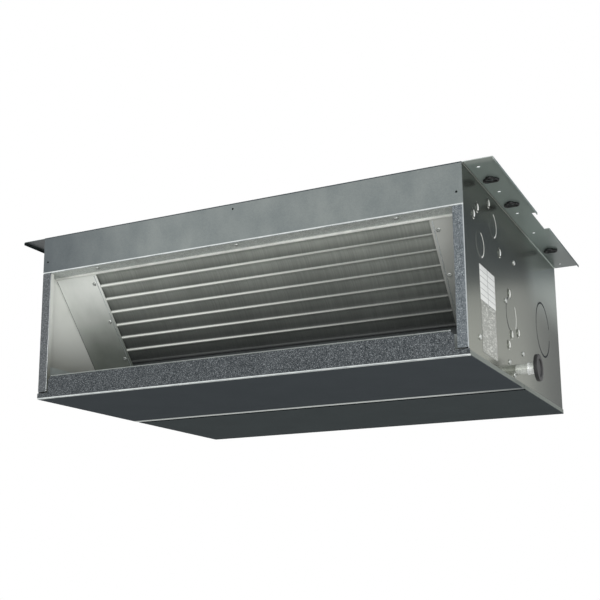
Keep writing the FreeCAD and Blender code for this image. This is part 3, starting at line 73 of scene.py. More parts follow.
class Side(Enum):
    """A side of the unit, with the sign of its X."""

    RIGHT = 1
    LEFT = -1


class Axis(Enum):
    """An axis of the frame, with its place in a point."""

    X = 0
    Y = 1
    Z = 2


# Shapes


def full_turn(steps: int) -> Array:
    """Angles evenly spaced round a full turn, from 0."""
    return np.linspace(0.0, 2 * math.pi, steps, endpoint=False)


def grid_quads(rows: int, columns: int, close_rows: bool, close_columns: bool) -> Numbers:
    """Corner numbers of a grid's quads.

    Quad (i, j) joins the points (i, j), (i + 1, j), (i + 1, j + 1) and (i, j + 1). A closed direction joins
    its last line of points to its first.

    Args:
        rows: points along the first direction.
        columns: points along the second direction.
        close_rows: whether the first direction closes on itself.
        close_columns: whether the second direction closes on itself.

    Returns:
        One row of four corner numbers per quad.
    """
    first, second = np.meshgrid(np.arange(rows - (not close_rows)), np.arange(columns - (not close_columns)),
                                indexing="ij")
    row, next_row = first * columns, (first + 1) % rows * columns
    next_column = (second + 1) % columns
    corners = [row + second, next_row + second, next_row + next_column, row + next_column]
    return np.stack(corners, axis=-1).reshape(-1, 4)


def turned(profile: ArrayLike, centre: ArrayLike, axis: ArrayLike, sides: int, flutes: int = 0,
           flute_depth: float = 0.0, flats: float = math.inf) -> Array:
    """A turned surface: a profile carried round an axis.

    A point is centre + a * axis + r * (cos(t) * u + sin(t) * v), where (a, r) runs along the profile and t
    round the axis, from u to v, which are square to it. With flutes, r is less by
    flute_depth * (1 - cos(flutes * t)) / 2. With flats, r is no more than flats / 2 / cos(t), where t is
    measured from the middle of the nearest of six sides.

    Args:
        profile: pairs of distance along the axis and radius.
        centre: where the profile's zero lies.
        axis: direction of the axis.
        sides: points round the axis.
        flutes: hollows round the axis, none for a plain turned form.
        flute_depth: depth of each hollow.
        flats: distance across the flats of a six-sided form.

    Returns:
        A grid of points, rows along the profile and columns round the axis.
    """
    direction = np.asarray(axis, float) / np.linalg.norm(axis)
    helper = (0.0, 0.0, 1.0) if abs(direction[2]) < 0.9 else (0.0, 1.0, 0.0)
    first = np.cross(helper, direction)
    first /= np.linalg.norm(first)
    second = np.cross(direction, first)
    line = np.asarray(profile, float)[:, :, None]
    turn = full_turn(sides)
    hollow = flute_depth * (1 - np.cos(flutes * turn)) / 2
    radius = np.maximum(line[:, 1] - np.where(line[:, 1] > 0, hollow, 0.0), 0.0)
    radius = np.minimum(radius, flats / 2 / np.cos((turn + math.pi / 6) % (math.pi / 3) - math.pi / 6))
    around = np.cos(turn)[:, None] * first + np.sin(turn)[:, None] * second
    return np.asarray(centre, float) + line[:, :1] * direction + radius[..., None] * around


def mirrored(half: ArrayLike, low: float, high: float) -> Array:
    """A profile that is the same from both of its ends.

    Args:
        half: pairs of distance from the nearer end and radius, from that end to the middle.
        low: where the profile starts.
        high: where it ends.

    Returns:
        The whole profile.
    """
    near = np.asarray(half, float)
    return np.concatenate([near * (1, 1) + (low, 0), near[::-1] * (-1, 1) + (high, 0)])


def rounded(corners: ArrayLike, radius: float, steps: int = 5) -> Array:
    """A profile with every inner corner rounded.

    Each corner P is replaced by the curve (1 - t)^2 * A + 2 * t * (1 - t) * P + t^2 * B, where A and B lie
    on its two lines, the radius away or nearly half the line, whichever is less.

    Args:
        corners: the profile's corners.
        radius: how far from each corner its rounding starts.
        steps: points on each rounding.

    Returns:
        The profile with its roundings.
    """
    line = np.asarray(corners, float)
    share = np.linspace(0.0, 1.0, steps)[:, None]
    parts = [line[:1]]
    for before, corner, after in zip(line[:-2], line[1:-1], line[2:]):
        ends = []
        for way in (before - corner, after - corner):
            length = max(float(np.linalg.norm(way)), SLIVER)
            ends.append(corner + way / length * min(radius, NEARLY_HALF * length))
        parts.append((1 - share) ** 2 * ends[0] + 2 * share * (1 - share) * corner + share ** 2 * ends[1])
    return np.concatenate([*parts, line[-1:]])


def bead(start: ArrayLike, end: ArrayLike, radius: float) -> Array:
    """A thin round bead between two points, with ball ends.

    The profile is a line at the radius with a quarter circle at each end, carried round the bead's axis.

    Args:
        start: the middle of one end.
        end: the middle of the other end.
        radius: the bead's radius.

    Returns:
        A grid of points, rows along the bead.
    """
    way = np.asarray(end, float) - np.asarray(start, float)
    length = float(np.linalg.norm(way))
    turn = np.linspace(0.0, math.pi / 2, 5)
    ball = np.stack([radius - radius * np.cos(turn), radius * np.sin(turn)], axis=1)
    return turned(mirrored(ball, 0.0, length), start, way / length, 12)


def round_plate(x: float, y_range: Span, z_range: Span, thickness: float) -> Array:
    """A thin flat plate across X with round corners and a drawn-in front rim.

    Its outline is a rectangle with a quarter circle at each corner. A point is
    middle + s * (outline(t) - middle) + h * (1, 0, 0), where (s, h) runs from the middle of the front face,
    over the rounded rim, to the middle of the back face.

    Args:
        x: X of the back face.
        y_range: lowest and highest Y.
        z_range: lowest and highest Z.
        thickness: from back to front.

    Returns:
        A grid of points, rows from front to back and columns round the outline.
    """
    radius, rim, steps = 2.0, 0.4, 6
    corners = []
    for number, (y, z) in enumerate(((1, 1), (0, 1), (0, 0), (1, 0))):
        turn = np.linspace(0.0, math.pi / 2, steps) + number * math.pi / 2
        corners.append(np.stack([np.full(steps, x), y_range[y] + radius * (1 - 2 * y + np.cos(turn)),
                                 z_range[z] + radius * (1 - 2 * z + np.sin(turn))], axis=1))
    outline = np.concatenate(corners)
    middle = outline.mean(axis=0)
    inset = rim / np.linalg.norm(outline - middle, axis=1).max()
    reach = np.array([0, 0.6, 1 - inset, 1 - 0.3 * inset, 1, 1, 0.5, 0])[:, None, None]
    rise = np.array([1, 1, 1, 0.7, 0.3, 0, 0, 0])[:, None, None]
    return middle + reach * (outline - middle) + rise * np.array([thickness, 0.0, 0.0])


def placed(name: str, data: bpy.types.ID) -> bpy.types.Object:
    """Stands a new object in the scene.

    Args:
        name: its name.
        data: its mesh, lamp or lens.

    Returns:
        The object.
    """
    made = bpy.data.objects.new(name, data)
    bpy.context.scene.collection.objects.link(made)
    return made


@dataclass
class Form:
    """Grids of points gathered into one mesh, in millimetres."""

    points: list[Array] = field(default_factory=list)
    quads: list[Numbers] = field(default_factory=list)
    shades: list[Array] = field(default_factory=list)
    count: int = 0

    def add(self, grid: Array, close_rows: bool = False, close_columns: bool = True,
            shade: Optional[Array] = None) -> "Form":
        """Adds a grid of points.

        Args:
            grid: points in rows and columns.
            close_rows: whether the rows close on themselves.
            close_columns: whether the columns close on themselves.
            shade: one number per point for the attribute "shade", or none for zeros.

        Returns:
            This form.
        """
        rows, columns = grid.shape[:2]
        self.points.append(grid.reshape(-1, 3))
        self.quads.append(grid_quads(rows, columns, close_rows, close_columns) + self.count)
        self.shades.append(np.zeros(rows * columns) if shade is None else shade.ravel())
        self.count += rows * columns
        return self

    def piece(self, name: str, body: str, finish: "Finish", slot: str, smooth_angle: float = 40.0,
              solid: str = "") -> None:
        """Makes the mesh, closes its poles and seams, and puts the piece on its body.

        Args:
            name: the piece's name.
            body: the body that it rides on.
            finish: its finish.
            slot: not used.
            smooth_angle: degrees under which neighbouring faces shade as one.
            solid: the node that the piece takes the place of, if it does.
        """
        mesh = bpy.data.meshes.new(name)
        mesh.from_pydata((np.concatenate(self.points) * MM).tolist(), [], np.concatenate(self.quads).tolist())
        shade = mesh.attributes.new("shade", "FLOAT", "POINT")
        shade.data.foreach_set("value", np.concatenate(self.shades).astype(np.float32))
        work = bmesh.new()
        work.from_mesh(mesh)
        bmesh.ops.remove_doubles(work, verts=work.verts, dist=SAME_POINT)
        bmesh.ops.dissolve_degenerate(work, edges=work.edges, dist=SLIVER)
        bmesh.ops.recalc_face_normals(work, faces=work.faces)
        work.to_mesh(mesh)
        work.free()
        mesh.shade_smooth()
        mesh.set_sharp_from_angle(angle=math.radians(smooth_angle))
        mesh.materials.append(finish.material())
        piece = placed(name, mesh)
        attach(piece, body)
        if solid:
            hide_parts(solid)
        LOG.info("piece %s on %s: %d faces", name, body, len(mesh.polygons))


# Finishes


def linear(shade: str) -> tuple[float, float, float, float]:
    """A colour's linear parts from its six hexadecimal digits.

    Args:
        shade: the digits, red, green and blue.

    Returns:
        Red, green, blue and a full alpha.
    """
    parts = np.array([int(shade[i:i + 2], 16) / 255 for i in (0, 2, 4)])
    parts = np.where(parts <= 0.04045, parts / 12.92, ((parts + 0.055) / 1.055) ** 2.4)
    return (float(parts[0]), float(parts[1]), float(parts[2]), 1.0)


class Tree:
    """The nodes of a material or of the surround, added and joined with short calls."""

    def __init__(self, stuff: Union[bpy.types.Material, bpy.types.World]) -> None:
        """Starts with the nodes that any new material or surround has.

        Args:
            stuff: the material or surround.
        """
        stuff.use_nodes = True
        self.nodes = stuff.node_tree.nodes
        self.links = stuff.node_tree.links
        self.shader = self.nodes.get("Principled BSDF")
        self.place = self.nodes.new("ShaderNodeTexCoord").outputs["Object"]

    def put(self, node: bpy.types.Node, socket: Union[int, str], value: object) -> None:
        """Links a socket to an input, or writes a value to it.

        Args:
            node: the node.
            socket: the input's name or number.
            value: another node's output, a number or a colour.
        """
        if isinstance(value, bpy.types.NodeSocket):
            self.links.new(value, node.inputs[socket])
        else:
            node.inputs[socket].default_value = value

    def node(self, kind: str, inputs: dict[Union[int, str], object], output: Union[int, str] = 0,
             **settings: object) -> Socket:
        """Adds a node.

        Args:
            kind: its type, without the words that all types start with.
            inputs: what goes into its inputs, by their names or numbers.
            output: the wanted output's name or number.
            settings: its other properties.

        Returns:
            The wanted output.
        """
        node = self.nodes.new("ShaderNode" + kind)
        for name, setting in settings.items():
            setattr(node, name, setting)
        for socket, value in inputs.items():
            self.put(node, socket, value)
        return node.outputs[output]

    def math(self, operation: str, first: Value, second: Value = 0.0, clamp: bool = False) -> Socket:
        """The result of an operation on one or two values, kept from 0 to 1 if clamped."""
        return self.node("Math", {0: first, 1: second}, operation=operation, use_clamp=clamp)

    def scaled(self, value: Value, factor: Value, start: Value = 0.0) -> Socket:
        """The sum of a start and a value times a factor."""
        return self.math("ADD", self.math("MULTIPLY", value, factor), start)

    def stretched(self, scale: Point) -> Socket:
        """Object coordinates stretched along the axes."""
        return self.node("Mapping", {"Vector": self.place, "Scale": scale})

    def noise(self, scale: float, detail: float = 3.0, where: Optional[Socket] = None) -> Socket:
        """A noise value around one half, by its waves per metre, finer layers and coordinates."""
        return self.node("TexNoise", {"Vector": where or self.place, "Scale": scale, "Detail": detail}, "Fac")

    def cells(self, scale: float) -> Socket:
        """A random value for each grain of an uneven pattern, by its grains per metre."""
        colour = self.node("TexVoronoi", {"Vector": self.place, "Scale": scale}, "Color")
        return self.node("SeparateColor", {0: colour})

    def between(self, value: Value, low: float, high: float, smooth: bool = True) -> Socket:
        """How far a value is on its way between two bounds, from 0 to 1, with soft ends if smooth."""
        ends = {"Value": value, "From Min": low, "From Max": high}
        return self.node("MapRange", ends, interpolation_type="SMOOTHSTEP" if smooth else "LINEAR")

    def mix(self, share: Value, first: object, second: object) -> Socket:
        """A mix of two colours, by the share of the second."""
        return self.node("Mix", {0: share, 6: first, 7: second}, 2, data_type="RGBA", clamp_factor=True)

    def blend(self, share: Value, first: Value, second: Value) -> Socket:
        """A mix of two numbers, by the share of the second."""
        return self.node("Mix", {0: share, 2: first, 3: second}, data_type="FLOAT")

    def part(self, axis: Axis) -> Socket:
        """One of the Object coordinates, in metres."""
        return self.node("SeparateXYZ", {0: self.place}, axis.value)

    def along(self, axis: Axis, low: float, high: float, smooth: bool = True) -> Socket:
        """How far a point is on its way between two places on an axis, in millimetres."""
        return self.between(self.part(axis), low * MM, high * MM, smooth)

    def wave(self, axis: Axis, pitch: float) -> Socket:
        """A sine wave along an axis, by its pitch in millimetres."""
        return self.math("SINE", self.math("MULTIPLY", self.part(axis), 2 * math.pi / (pitch * MM)))

    def attribute(self, name: str) -> Socket:
        """A piece's own attribute."""
        return self.node("Attribute", {}, "Fac", attribute_name=name)

    def surface(self, colour: Socket, rough: Value, metal: Value) -> None:
        """Gives the shader its colour, roughness and metal."""
        for socket, value in (("Base Color", colour), ("Roughness", rough), ("Metallic", metal)):
            self.put(self.shader, socket, value)

    def bump(self, height: Socket, depth: float, strength: float = 1.0) -> None:
        """Sends a height to the shader's normal; a height of 1 is the depth in millimetres."""
        normal = self.node("Bump", {"Strength": strength, "Distance": depth * MM, "Height": height})
        self.put(self.shader, "Normal", normal)


@dataclass(frozen=True)
class Finish:
    """A plain finish with mottling and fine grain; other finishes build on it.

    Mottle and grain are waves per metre, depth is the grain's height in millimetres, gloss the strength of
    the sheen and rim its colour.
    """

    name: str
    shade: str = "ffffff"
    dark: str = "ffffff"
    roughness: float = 0.5
    metal: float = 0.0
    mottle: float = 12.0
    grain: float = 700.0
    depth: float = 0.05
    gloss: float = 0.5
    rim: str = "ffffff"

    def material(self) -> bpy.types.Material:
        """The finish's material, made when first asked for.

        Returns:
            The material.
        """
        known = bpy.data.materials.get(self.name)
        if known:
            return known
        made = bpy.data.materials.new(self.name)
        tree = Tree(made)
        self.fill(tree)
        tree.put(tree.shader, "Specular IOR Level", self.gloss)
        tree.put(tree.shader, "Specular Tint", linear(self.rim))
        return made

    def fill(self, tree: Tree) -> None:
        """Mixes the two colours by patches and grain; the grain also roughens and raises the surface.

        Args:
            tree: the material's nodes.
        """
        grain = tree.noise(self.grain, 2.0)
        share = tree.scaled(tree.noise(self.mottle), 0.7, tree.math("MULTIPLY", grain, 0.3))
        colour = tree.mix(tree.between(share, 0.3, 0.7), linear(self.dark), linear(self.shade))
        tree.surface(colour, tree.scaled(grain, 0.16, self.roughness - 0.08), self.metal)
        tree.bump(grain, self.depth)


@dataclass(frozen=True)
class Zinc:
    """How zinc-coated sheet looks in one place: colours, spangle, patches and flecks."""

    shade: str
    dark: str
    roughness: float = 0.3
    spangle: float = 0.12
    spangle_size: float = 3.0
    patches: float = 0.2
    patch_size: Point = (60.0, 60.0, 120.0)
    flecks: float = 0.0
    fleck_shade: str = "b4bcc4"
    fleck_range: Span = (0.56, 0.63)

    def tinted(self, shade: str, dark: str, roughness: float = 0.0) -> "Zinc":
        """The same sheet in two other colours, and with another roughness where one is given."""
        return replace(self, shade=shade, dark=dark, roughness=roughness or self.roughness)

    def surface(self, tree: Tree) -> tuple[Socket, Socket]:
        """The colour and roughness that this zinc gives.

        Args:
            tree: the nodes of the material that it is part of.

        Returns:
            The colour and the roughness.
        """
        patches = tree.noise(1.0, 4.0, tree.stretched(tuple(1 / (size * MM) for size in self.patch_size)))
        cells = tree.math("SUBTRACT", tree.cells(1 / (self.spangle_size * MM)), 0.5)
        share = tree.scaled(tree.math("SUBTRACT", patches, 0.5), 4 * self.patches, 0.5)
        share = tree.math("MAXIMUM", tree.scaled(cells, 2 * self.spangle, share), 0.0, True)
        colour = tree.mix(share, linear(self.dark), linear(self.shade))
        if self.flecks:
            speckle = tree.between(tree.noise(1.7 / (self.spangle_size * MM), 2.0), *self.fleck_range)
            colour = tree.mix(tree.math("MULTIPLY", speckle, self.flecks), colour, linear(self.fleck_shade))
        return colour, tree.scaled(cells, 0.5 * self.spangle, self.roughness)


@dataclass(frozen=True)
class Zone:
    """A box where a sheet has another zinc, with soft sides; it has no end along an axis that is left out."""

    zinc: Zinc
    soft: float
    x: Optional[Span] = None
    y: Optional[Span] = None
    z: Optional[Span] = None

    def mask(self, tree: Tree) -> Socket:
        """How far a point is inside the zone, as the product of its shares along each axis.

        Args:
            tree: the material's nodes.

        Returns:
            A number from 0 to 1.
        """
        mask = None
        for axis, span in zip(Axis, (self.x, self.y, self.z)):
            if span:
                entry, leave = (tree.along(axis, end - self.soft, end + self.soft) for end in span)
                inside = tree.math("SUBTRACT", entry, leave, True)
                mask = tree.math("MULTIPLY", mask, inside) if mask else inside
        return mask


@dataclass(frozen=True)
class ZincFinish(Finish):
    """Zinc-coated sheet, with zones that look otherwise."""

    sheet: Zinc = Zinc("7f8788", "6d7577")
    zones: tuple[Zone, ...] = ()

    def fill(self, tree: Tree) -> None:
        """Mixes the sheet's zinc with that of its zones.

        Args:
            tree: the material's nodes.
        """
        colour, rough = self.sheet.surface(tree)
        for zone in self.zones:
            mask = zone.mask(tree)
            zone_colour, zone_rough = zone.zinc.surface(tree)
            colour = tree.mix(mask, colour, zone_colour)
            rough = tree.blend(mask, rough, zone_rough)
        tree.surface(colour, rough, self.metal)
        tree.bump(tree.noise(180.0, 2.0), self.depth)


@dataclass(frozen=True)
class PressedFinish(ZincFinish):
    """Sheet in a pressed mark: a painted highlight where the shade attribute is 1, painted shade where it is
    -1.
    """

    # The colours of the painted highlight and of the painted shade.
    painted_highlight: str = "f2f4f0"
    sunk: str = "23262a"
    fade: Span = (0.1, 0.8)

    def fill(self, tree: Tree) -> None:
        """Adds the mark's painted highlight and painted shade to the sheet.

        Args:
            tree: the material's nodes.
        """
        super().fill(tree)
        shade = tree.attribute("shade")
        bright = tree.between(shade, *self.fade)
        dark = tree.between(tree.math("MULTIPLY", shade, -1.0), *self.fade)
        sheet, rough = (tree.shader.inputs[name].links[0].from_socket for name in ("Base Color", "Roughness"))
        # Painted highlight and painted shade mixed into the sheet.
        colour = tree.mix(dark, tree.mix(bright, sheet, linear(self.painted_highlight)), linear(self.sunk))
        rough = tree.blend(dark, tree.blend(bright, rough, 0.5), 1.0)
        tree.surface(colour, rough, tree.blend(tree.math("MAXIMUM", bright, dark), self.metal, 0.0))


@dataclass(frozen=True)
class FinFinish(Finish):
    """The coil's aluminium face: ridges with a painted highlight, hollows with painted shade that darkens
    downward, and a fine fin grain.
    """

    # The ridges' painted highlight, and its dimmer colour towards the right.
    ridge: str = "e6e8e2"
    ridge_highlight_right: str = "4c4f4b"
    # Painted shade on the face's lower part, and painted light at its foot, where the upstand shades it.
    painted_low_shade: str = "2c2e2f"
    foot_painted_light: str = "7c8082"
    pitch: float = 2.1
    painted_shade_heights: Span = (60.0, 205.0)
    foot_light_heights: Span = (77.0, 81.0)
    ridge_highlight_heights: Span = (83.0, 104.0)
    highlight_dim_range: Span = (-200.0, 320.0)
    highlight_dimming: float = 0.85

    def fill(self, tree: Tree) -> None:
        """Colours the face by the shade attribute: a painted highlight at 1 on a ridge, painted shade from 0
        to -1 down a hollow.

        Args:
            tree: the material's nodes.
        """
        low = linear(self.painted_low_shade)
        grain = tree.noise(1.0, 3.0, tree.stretched((520.0, 12.0, 12.0)))
        shade = tree.attribute("shade")
        # Painted shade: each hollow darkens downward and the face darkens towards its lower part; painted
        # light lifts its foot.
        hollow = tree.mix(tree.between(shade, -1.0, 0.0), linear(self.dark), linear(self.shade))
        hollow = tree.mix(tree.along(Axis.Z, *self.painted_shade_heights, smooth=False), low, hollow)
        hollow = tree.mix(tree.along(Axis.Z, *self.foot_light_heights), linear(self.foot_painted_light), hollow)
        speck = tree.scaled(grain, 0.5, tree.math("MULTIPLY", tree.noise(9.0), 0.5))
        hollow = tree.mix(tree.between(speck, 0.35, 0.7), tree.mix(0.28, hollow, linear("000000")), hollow)
        # Painted highlight on the ridges, dimmed towards the right and giving way to painted shade low down.
        dim = tree.math("MULTIPLY", tree.along(Axis.X, *self.highlight_dim_range), self.highlight_dimming)
        ridge = tree.mix(dim, linear(self.ridge), linear(self.ridge_highlight_right))
        ridge = tree.mix(tree.along(Axis.Z, *self.ridge_highlight_heights), low, ridge)
        colour = tree.mix(tree.between(shade, 0.2, 0.95), hollow, ridge)
        tree.surface(colour, tree.scaled(grain, 0.2, self.roughness - 0.1), self.metal)
        tree.bump(tree.wave(Axis.X, self.pitch), 0.12, 0.35)


@dataclass(frozen=True)
class FloorFinish(Finish):
    """The studio floor, which fades into the white surround away from its middle."""

    fade: Span = (1.2, 2.5)

    def fill(self, tree: Tree) -> None:
        """Adds the fade: the alpha falls from 1 to 0 between two radii, in metres.

        Args:
            tree: the material's nodes.
        """
        super().fill(tree)
        squares = [tree.math("MULTIPLY", tree.part(axis), tree.part(axis)) for axis in (Axis.X, Axis.Y)]
        radius = tree.math("POWER", tree.math("ADD", *squares), 0.5)
        tree.put(tree.shader, "Alpha", tree.math("SUBTRACT", 1.0, tree.between(radius, *self.fade)))


@dataclass(frozen=True)
class LabelFinish(Finish):
    """A blank sticker, ruled into cells or mottled."""

    y_range: Span = (0.0, 1.0)
    z_range: Span = (0.0, 1.0)
    cells: tuple[int, int] = (2, 6)
    line: str = "6b6f6d"
    line_widths: Span = (1.5, 0.7)
    speckle: float = 0.0
    speck_shade: str = "dfe1db"

    def fill(self, tree: Tree) -> None:
        """Rules the sticker: a line is where a coordinate's share of a cell is near 0 or 1.

        Args:
            tree: the material's nodes.
        """
        lines = []
        for axis, (low, high), count, width in zip((Axis.Y, Axis.Z), (self.y_range, self.z_range), self.cells,
                                                   self.line_widths):
            share = tree.along(axis, low, high, smooth=False)
            phase = tree.math("FRACT", tree.math("MULTIPLY", share, float(count)))
            near = tree.math("ABSOLUTE", tree.math("SUBTRACT", phase, 0.5))
            reach = width * count / (high - low)
            lines.append(tree.between(near, 0.5 - reach, 0.5 - 0.4 * reach))
        marks = tree.math("MAXIMUM", *lines)
        paper = tree.mix(tree.noise(260.0), linear(self.dark), linear(self.shade))
        specks = tree.between(tree.noise(1.0, 3.0, tree.stretched((320.0, 150.0, 520.0))), 0.5, 0.62)
        paper = tree.mix(tree.math("MULTIPLY", specks, self.speckle), paper, linear(self.speck_shade))
        colour = tree.mix(tree.math("MULTIPLY", marks, 0.75), paper, linear(self.line))
        tree.surface(colour, tree.scaled(tree.noise(400.0), 0.1, self.roughness - 0.05), self.metal)
        tree.bump(marks, 0.04)


@dataclass(frozen=True)
class MeshFinish(Finish):
    """Woven filter media: threads crossing at a fine pitch."""

    pitch: float = 1.6

    def fill(self, tree: Tree) -> None:
        """Draws the threads as the larger of two sine waves, along X and Z.

        Args:
            tree: the material's nodes.
        """
        weave = tree.math("MAXIMUM", *(tree.wave(axis, self.pitch) for axis in (Axis.X, Axis.Z)))
        share = tree.scaled(tree.noise(25.0), 0.2, tree.between(weave, -0.6, 0.8))
        tree.surface(tree.mix(share, linear(self.dark), linear(self.shade)), self.roughness, self.metal)
        tree.bump(weave, 0.4)


HEADER_ZINC = Zinc("848a88", "676f70", 0.42, 0.12, 1.6, 0.3, (34, 60, 52))
HEADER_DARK = HEADER_ZINC.tinted("5b6264", "454c50")
RIM_DARK = Zinc("3c4346", "353c40", 0.5)
SPECKLED_ZINC = Zinc("525659", "363a3d", 0.5, 0.45, 2.1, 0.12, flecks=0.5, fleck_shade="adb3b6")
POST_ZINC = Zinc("6e7478", "4a5054", 0.5, 0.45, 2.1, 0.12, flecks=0.5, fleck_shade="bcc3c6")
# The header lip's near-white tone is painted light, for the light that falls on the lip from the front; its
# flecks are the sheet's spangle.
LIP_PAINTED_LIGHT = Zinc("dde2df", "abb1ae", 0.45, 0.36, 2.4, 0.1, flecks=0.7, fleck_shade="f4f6f5")
EDGE_ZINC = Zinc("8d928e", "787d79", 0.4, 0.1, 2.6, 0.1)
# Painted highlights: light lines along the header's bottom edge, the pans' seam and front edge, and the front
# corner's bend.
EDGE_HIGHLIGHT_ZINC = Zinc("dfe3e2", "c5cac9", 0.4, 0.05, 3, 0.05)
CORNER_HIGHLIGHT_ZINC = EDGE_HIGHLIGHT_ZINC.tinted("b7bdbe", "a3a9ab")
WALL_ZINC = Zinc("a9ada4", "999d95", 0.19, 0.01, 3, 0.12, (110, 110, 160))
# Painted reflections on the side's outer face: darker at the rear and the top, lighter at the upper rear and
# the lower front.
WALL_REAR_REFLECTION = WALL_ZINC.tinted("5a605b", "505651", 0.2)
WALL_TOP_REFLECTION = WALL_ZINC.tinted("91968f", "858a84", 0.22)
WALL_UPPER_REFLECTION = WALL_ZINC.tinted("bfc9c3", "b2bcb6", 0.24)
WALL_LOW_REFLECTION = WALL_ZINC.tinted("b9bcb2", "aaada3")
FLANGE_ZINC = Zinc("9ca8a4", "8b9794", 0.34, 0.04, 3, 0.15)
# Painted light and shade on the flanges' undersides: a painted highlight on the right flange's front, painted
# shade at the rear and on the left flange.
FLANGE_FRONT_HIGHLIGHT = FLANGE_ZINC.tinted("c4cbc7", "aab1ae")
FLANGE_REAR_SHADE = FLANGE_ZINC.tinted("525c59", "48514f")
FLANGE_LEFT_SHADE = FLANGE_ZINC.tinted("3a4143", "31383a", 0.4)
# Painted shade: the pans' floors are darker than the same sheet elsewhere, with a painted shadow along the
# seam.
UNDER_PAINTED_SHADE = Zinc("4d5256", "454a4e", 0.5, 0.05, 2.4, 0.2, (90, 90, 90))
UNDER_REAR_PAINTED_SHADE = UNDER_PAINTED_SHADE.tinted("4d5355", "464b4d")
SEAM_PAINTED_SHADOW = Zinc("14171a", "101316", 0.5, 0.05, 2.4)
INNER_ZINC = Zinc("f8f9f5", "eceee9", 0.45, 0.02, 3, 0.15, (90, 90, 160))
# Painted shade on the lower front of the left wall's inner face.
INNER_LOW_PAINTED_SHADE = INNER_ZINC.tinted("7e8077", "70726a")
BLANK_ZINC = Zinc("f4f6f2", "dadfd9", 0.35, 0.02, 3, 0.3, (30, 30, 140))
# Painted shade: the blanking plates darken towards the bottom.
BLANK_LOW_PAINTED_SHADE = BLANK_ZINC.tinted("777c76", "5f645e")
BLANK_RIGHT = BLANK_ZINC.tinted("b6b8b4", "a8aaa6")
BLANK_RIGHT_LOW_PAINTED_SHADE = BLANK_ZINC.tinted("8b8d89", "7d7f7b")
PAN_ZINC = Zinc("a4aaa8", "8f9694", 0.4, 0.12, 3.2)
PLAIN_ZINC = Zinc("8a9190", "757c7d", 0.36, 0.12, 3.2)
FAN_ZINC = Zinc("9aa1a1", "80878a", 0.32, 0.15)

FRONT_SKIN = (-300, -288.4)
HEADER_FINISH = ZincFinish("zinc_header", metal=0.35, sheet=HEADER_ZINC, gloss=0.3, zones=(
    Zone(HEADER_DARK, 150, x=(-600, -250)),
    Zone(RIM_DARK, 0.3, y=FRONT_SKIN, z=(278.3, 300)),
    # painted highlight along the header's bottom edge
    Zone(EDGE_HIGHLIGHT_ZINC, 0.3, z=(200, 218.3)),
    # painted light on the header lip
    Zone(LIP_PAINTED_LIGHT, 0.4, y=(-288.2, -200))))
# The side's painted reflections, used on the right side and on its pressed marks.
SIDE_PAINTED_REFLECTIONS = (
    Zone(WALL_REAR_REFLECTION, 190, y=(130, 500)),
    Zone(WALL_TOP_REFLECTION, 40, z=(185, 400)),
    Zone(WALL_UPPER_REFLECTION, 50, y=(80, 500), z=(180, 400)),
    Zone(WALL_LOW_REFLECTION, 70, y=(-500, 40), z=(-200, 60)))
RIGHT_FINISH = ZincFinish("zinc_side_right", metal=0.9, sheet=WALL_ZINC, depth=0.01, rim="b0b0b0", zones=(
    *SIDE_PAINTED_REFLECTIONS,
    Zone(INNER_ZINC, 0.2, x=(300, 369.4), y=(-300, -7)),
    Zone(POST_ZINC, 0.2, y=FRONT_SKIN),
    # painted highlight along the front corner's bend
    Zone(CORNER_HIGHLIGHT_ZINC, 0.2, x=(368.7, 400), y=FRONT_SKIN)))
LEFT_FINISH = ZincFinish("zinc_side_left", metal=0.35, sheet=WALL_ZINC, depth=0.01, zones=(
    Zone(INNER_ZINC, 0.2, x=(-369.4, -300), y=(-300, -7)),
    # painted shade on the lower front of the inner face
    Zone(INNER_LOW_PAINTED_SHADE, 55, y=(-380, -60), z=(-100, 80)),
    Zone(WALL_ZINC, 0.2, x=(-500, -369.4)),
    Zone(SPECKLED_ZINC, 0.2, y=FRONT_SKIN)))
MARK_FINISH = PressedFinish("zinc_pressed_marks", metal=0.9, sheet=WALL_ZINC, depth=0.01, rim="b0b0b0",
                            zones=SIDE_PAINTED_REFLECTIONS)
FLANGE_FINISH = ZincFinish("zinc_flange", metal=0.5, sheet=FLANGE_ZINC, depth=0.02, gloss=0.3, zones=(
    Zone(FLANGE_REAR_SHADE, 120, y=(120, 500)),
    Zone(FLANGE_LEFT_SHADE, 60, x=(-500, -300), y=(-400, -140)),
    Zone(FLANGE_FRONT_HIGHLIGHT, 8, x=(300, 500), y=(-400, -276)),
    # the top face keeps the plain sheet, without the painted light and shade
    Zone(FLANGE_ZINC, 0.15, z=(279.7, 300))))
# The front pan's floor is painted in shade.
FRONT_PAN_FINISH = ZincFinish("zinc_front_pan", sheet=UNDER_PAINTED_SHADE, gloss=0, zones=(
    # painted highlight along the seam between the pans
    Zone(EDGE_HIGHLIGHT_ZINC, 0.4, y=(-13, 5), z=(-1, 0.8)),
    # the painted shade comes back over the seam's highlight towards the right
    Zone(UNDER_PAINTED_SHADE, 130, x=(330, 900), y=(-180, 200)),
    Zone(EDGE_ZINC, 0.3, z=(1.2, 60)),
    Zone(SPECKLED_ZINC, 0.2, y=FRONT_SKIN),
    Zone(EDGE_ZINC, 0.2, y=FRONT_SKIN, z=(36.9, 60)),
    # painted highlight along the front bottom edge
    Zone(EDGE_HIGHLIGHT_ZINC, 0.2, y=(-300, -287.4), z=(-2, 2.3))))
# The rear pan's floor is painted in shade, with a painted shadow along the seam.
REAR_PAN_FINISH = ZincFinish("zinc_rear_pan", sheet=UNDER_REAR_PAINTED_SHADE, gloss=0, zones=(
    Zone(SEAM_PAINTED_SHADOW, 0.4, y=(-5, 9)),
    Zone(EDGE_ZINC, 0.3, z=(1.2, 60))))
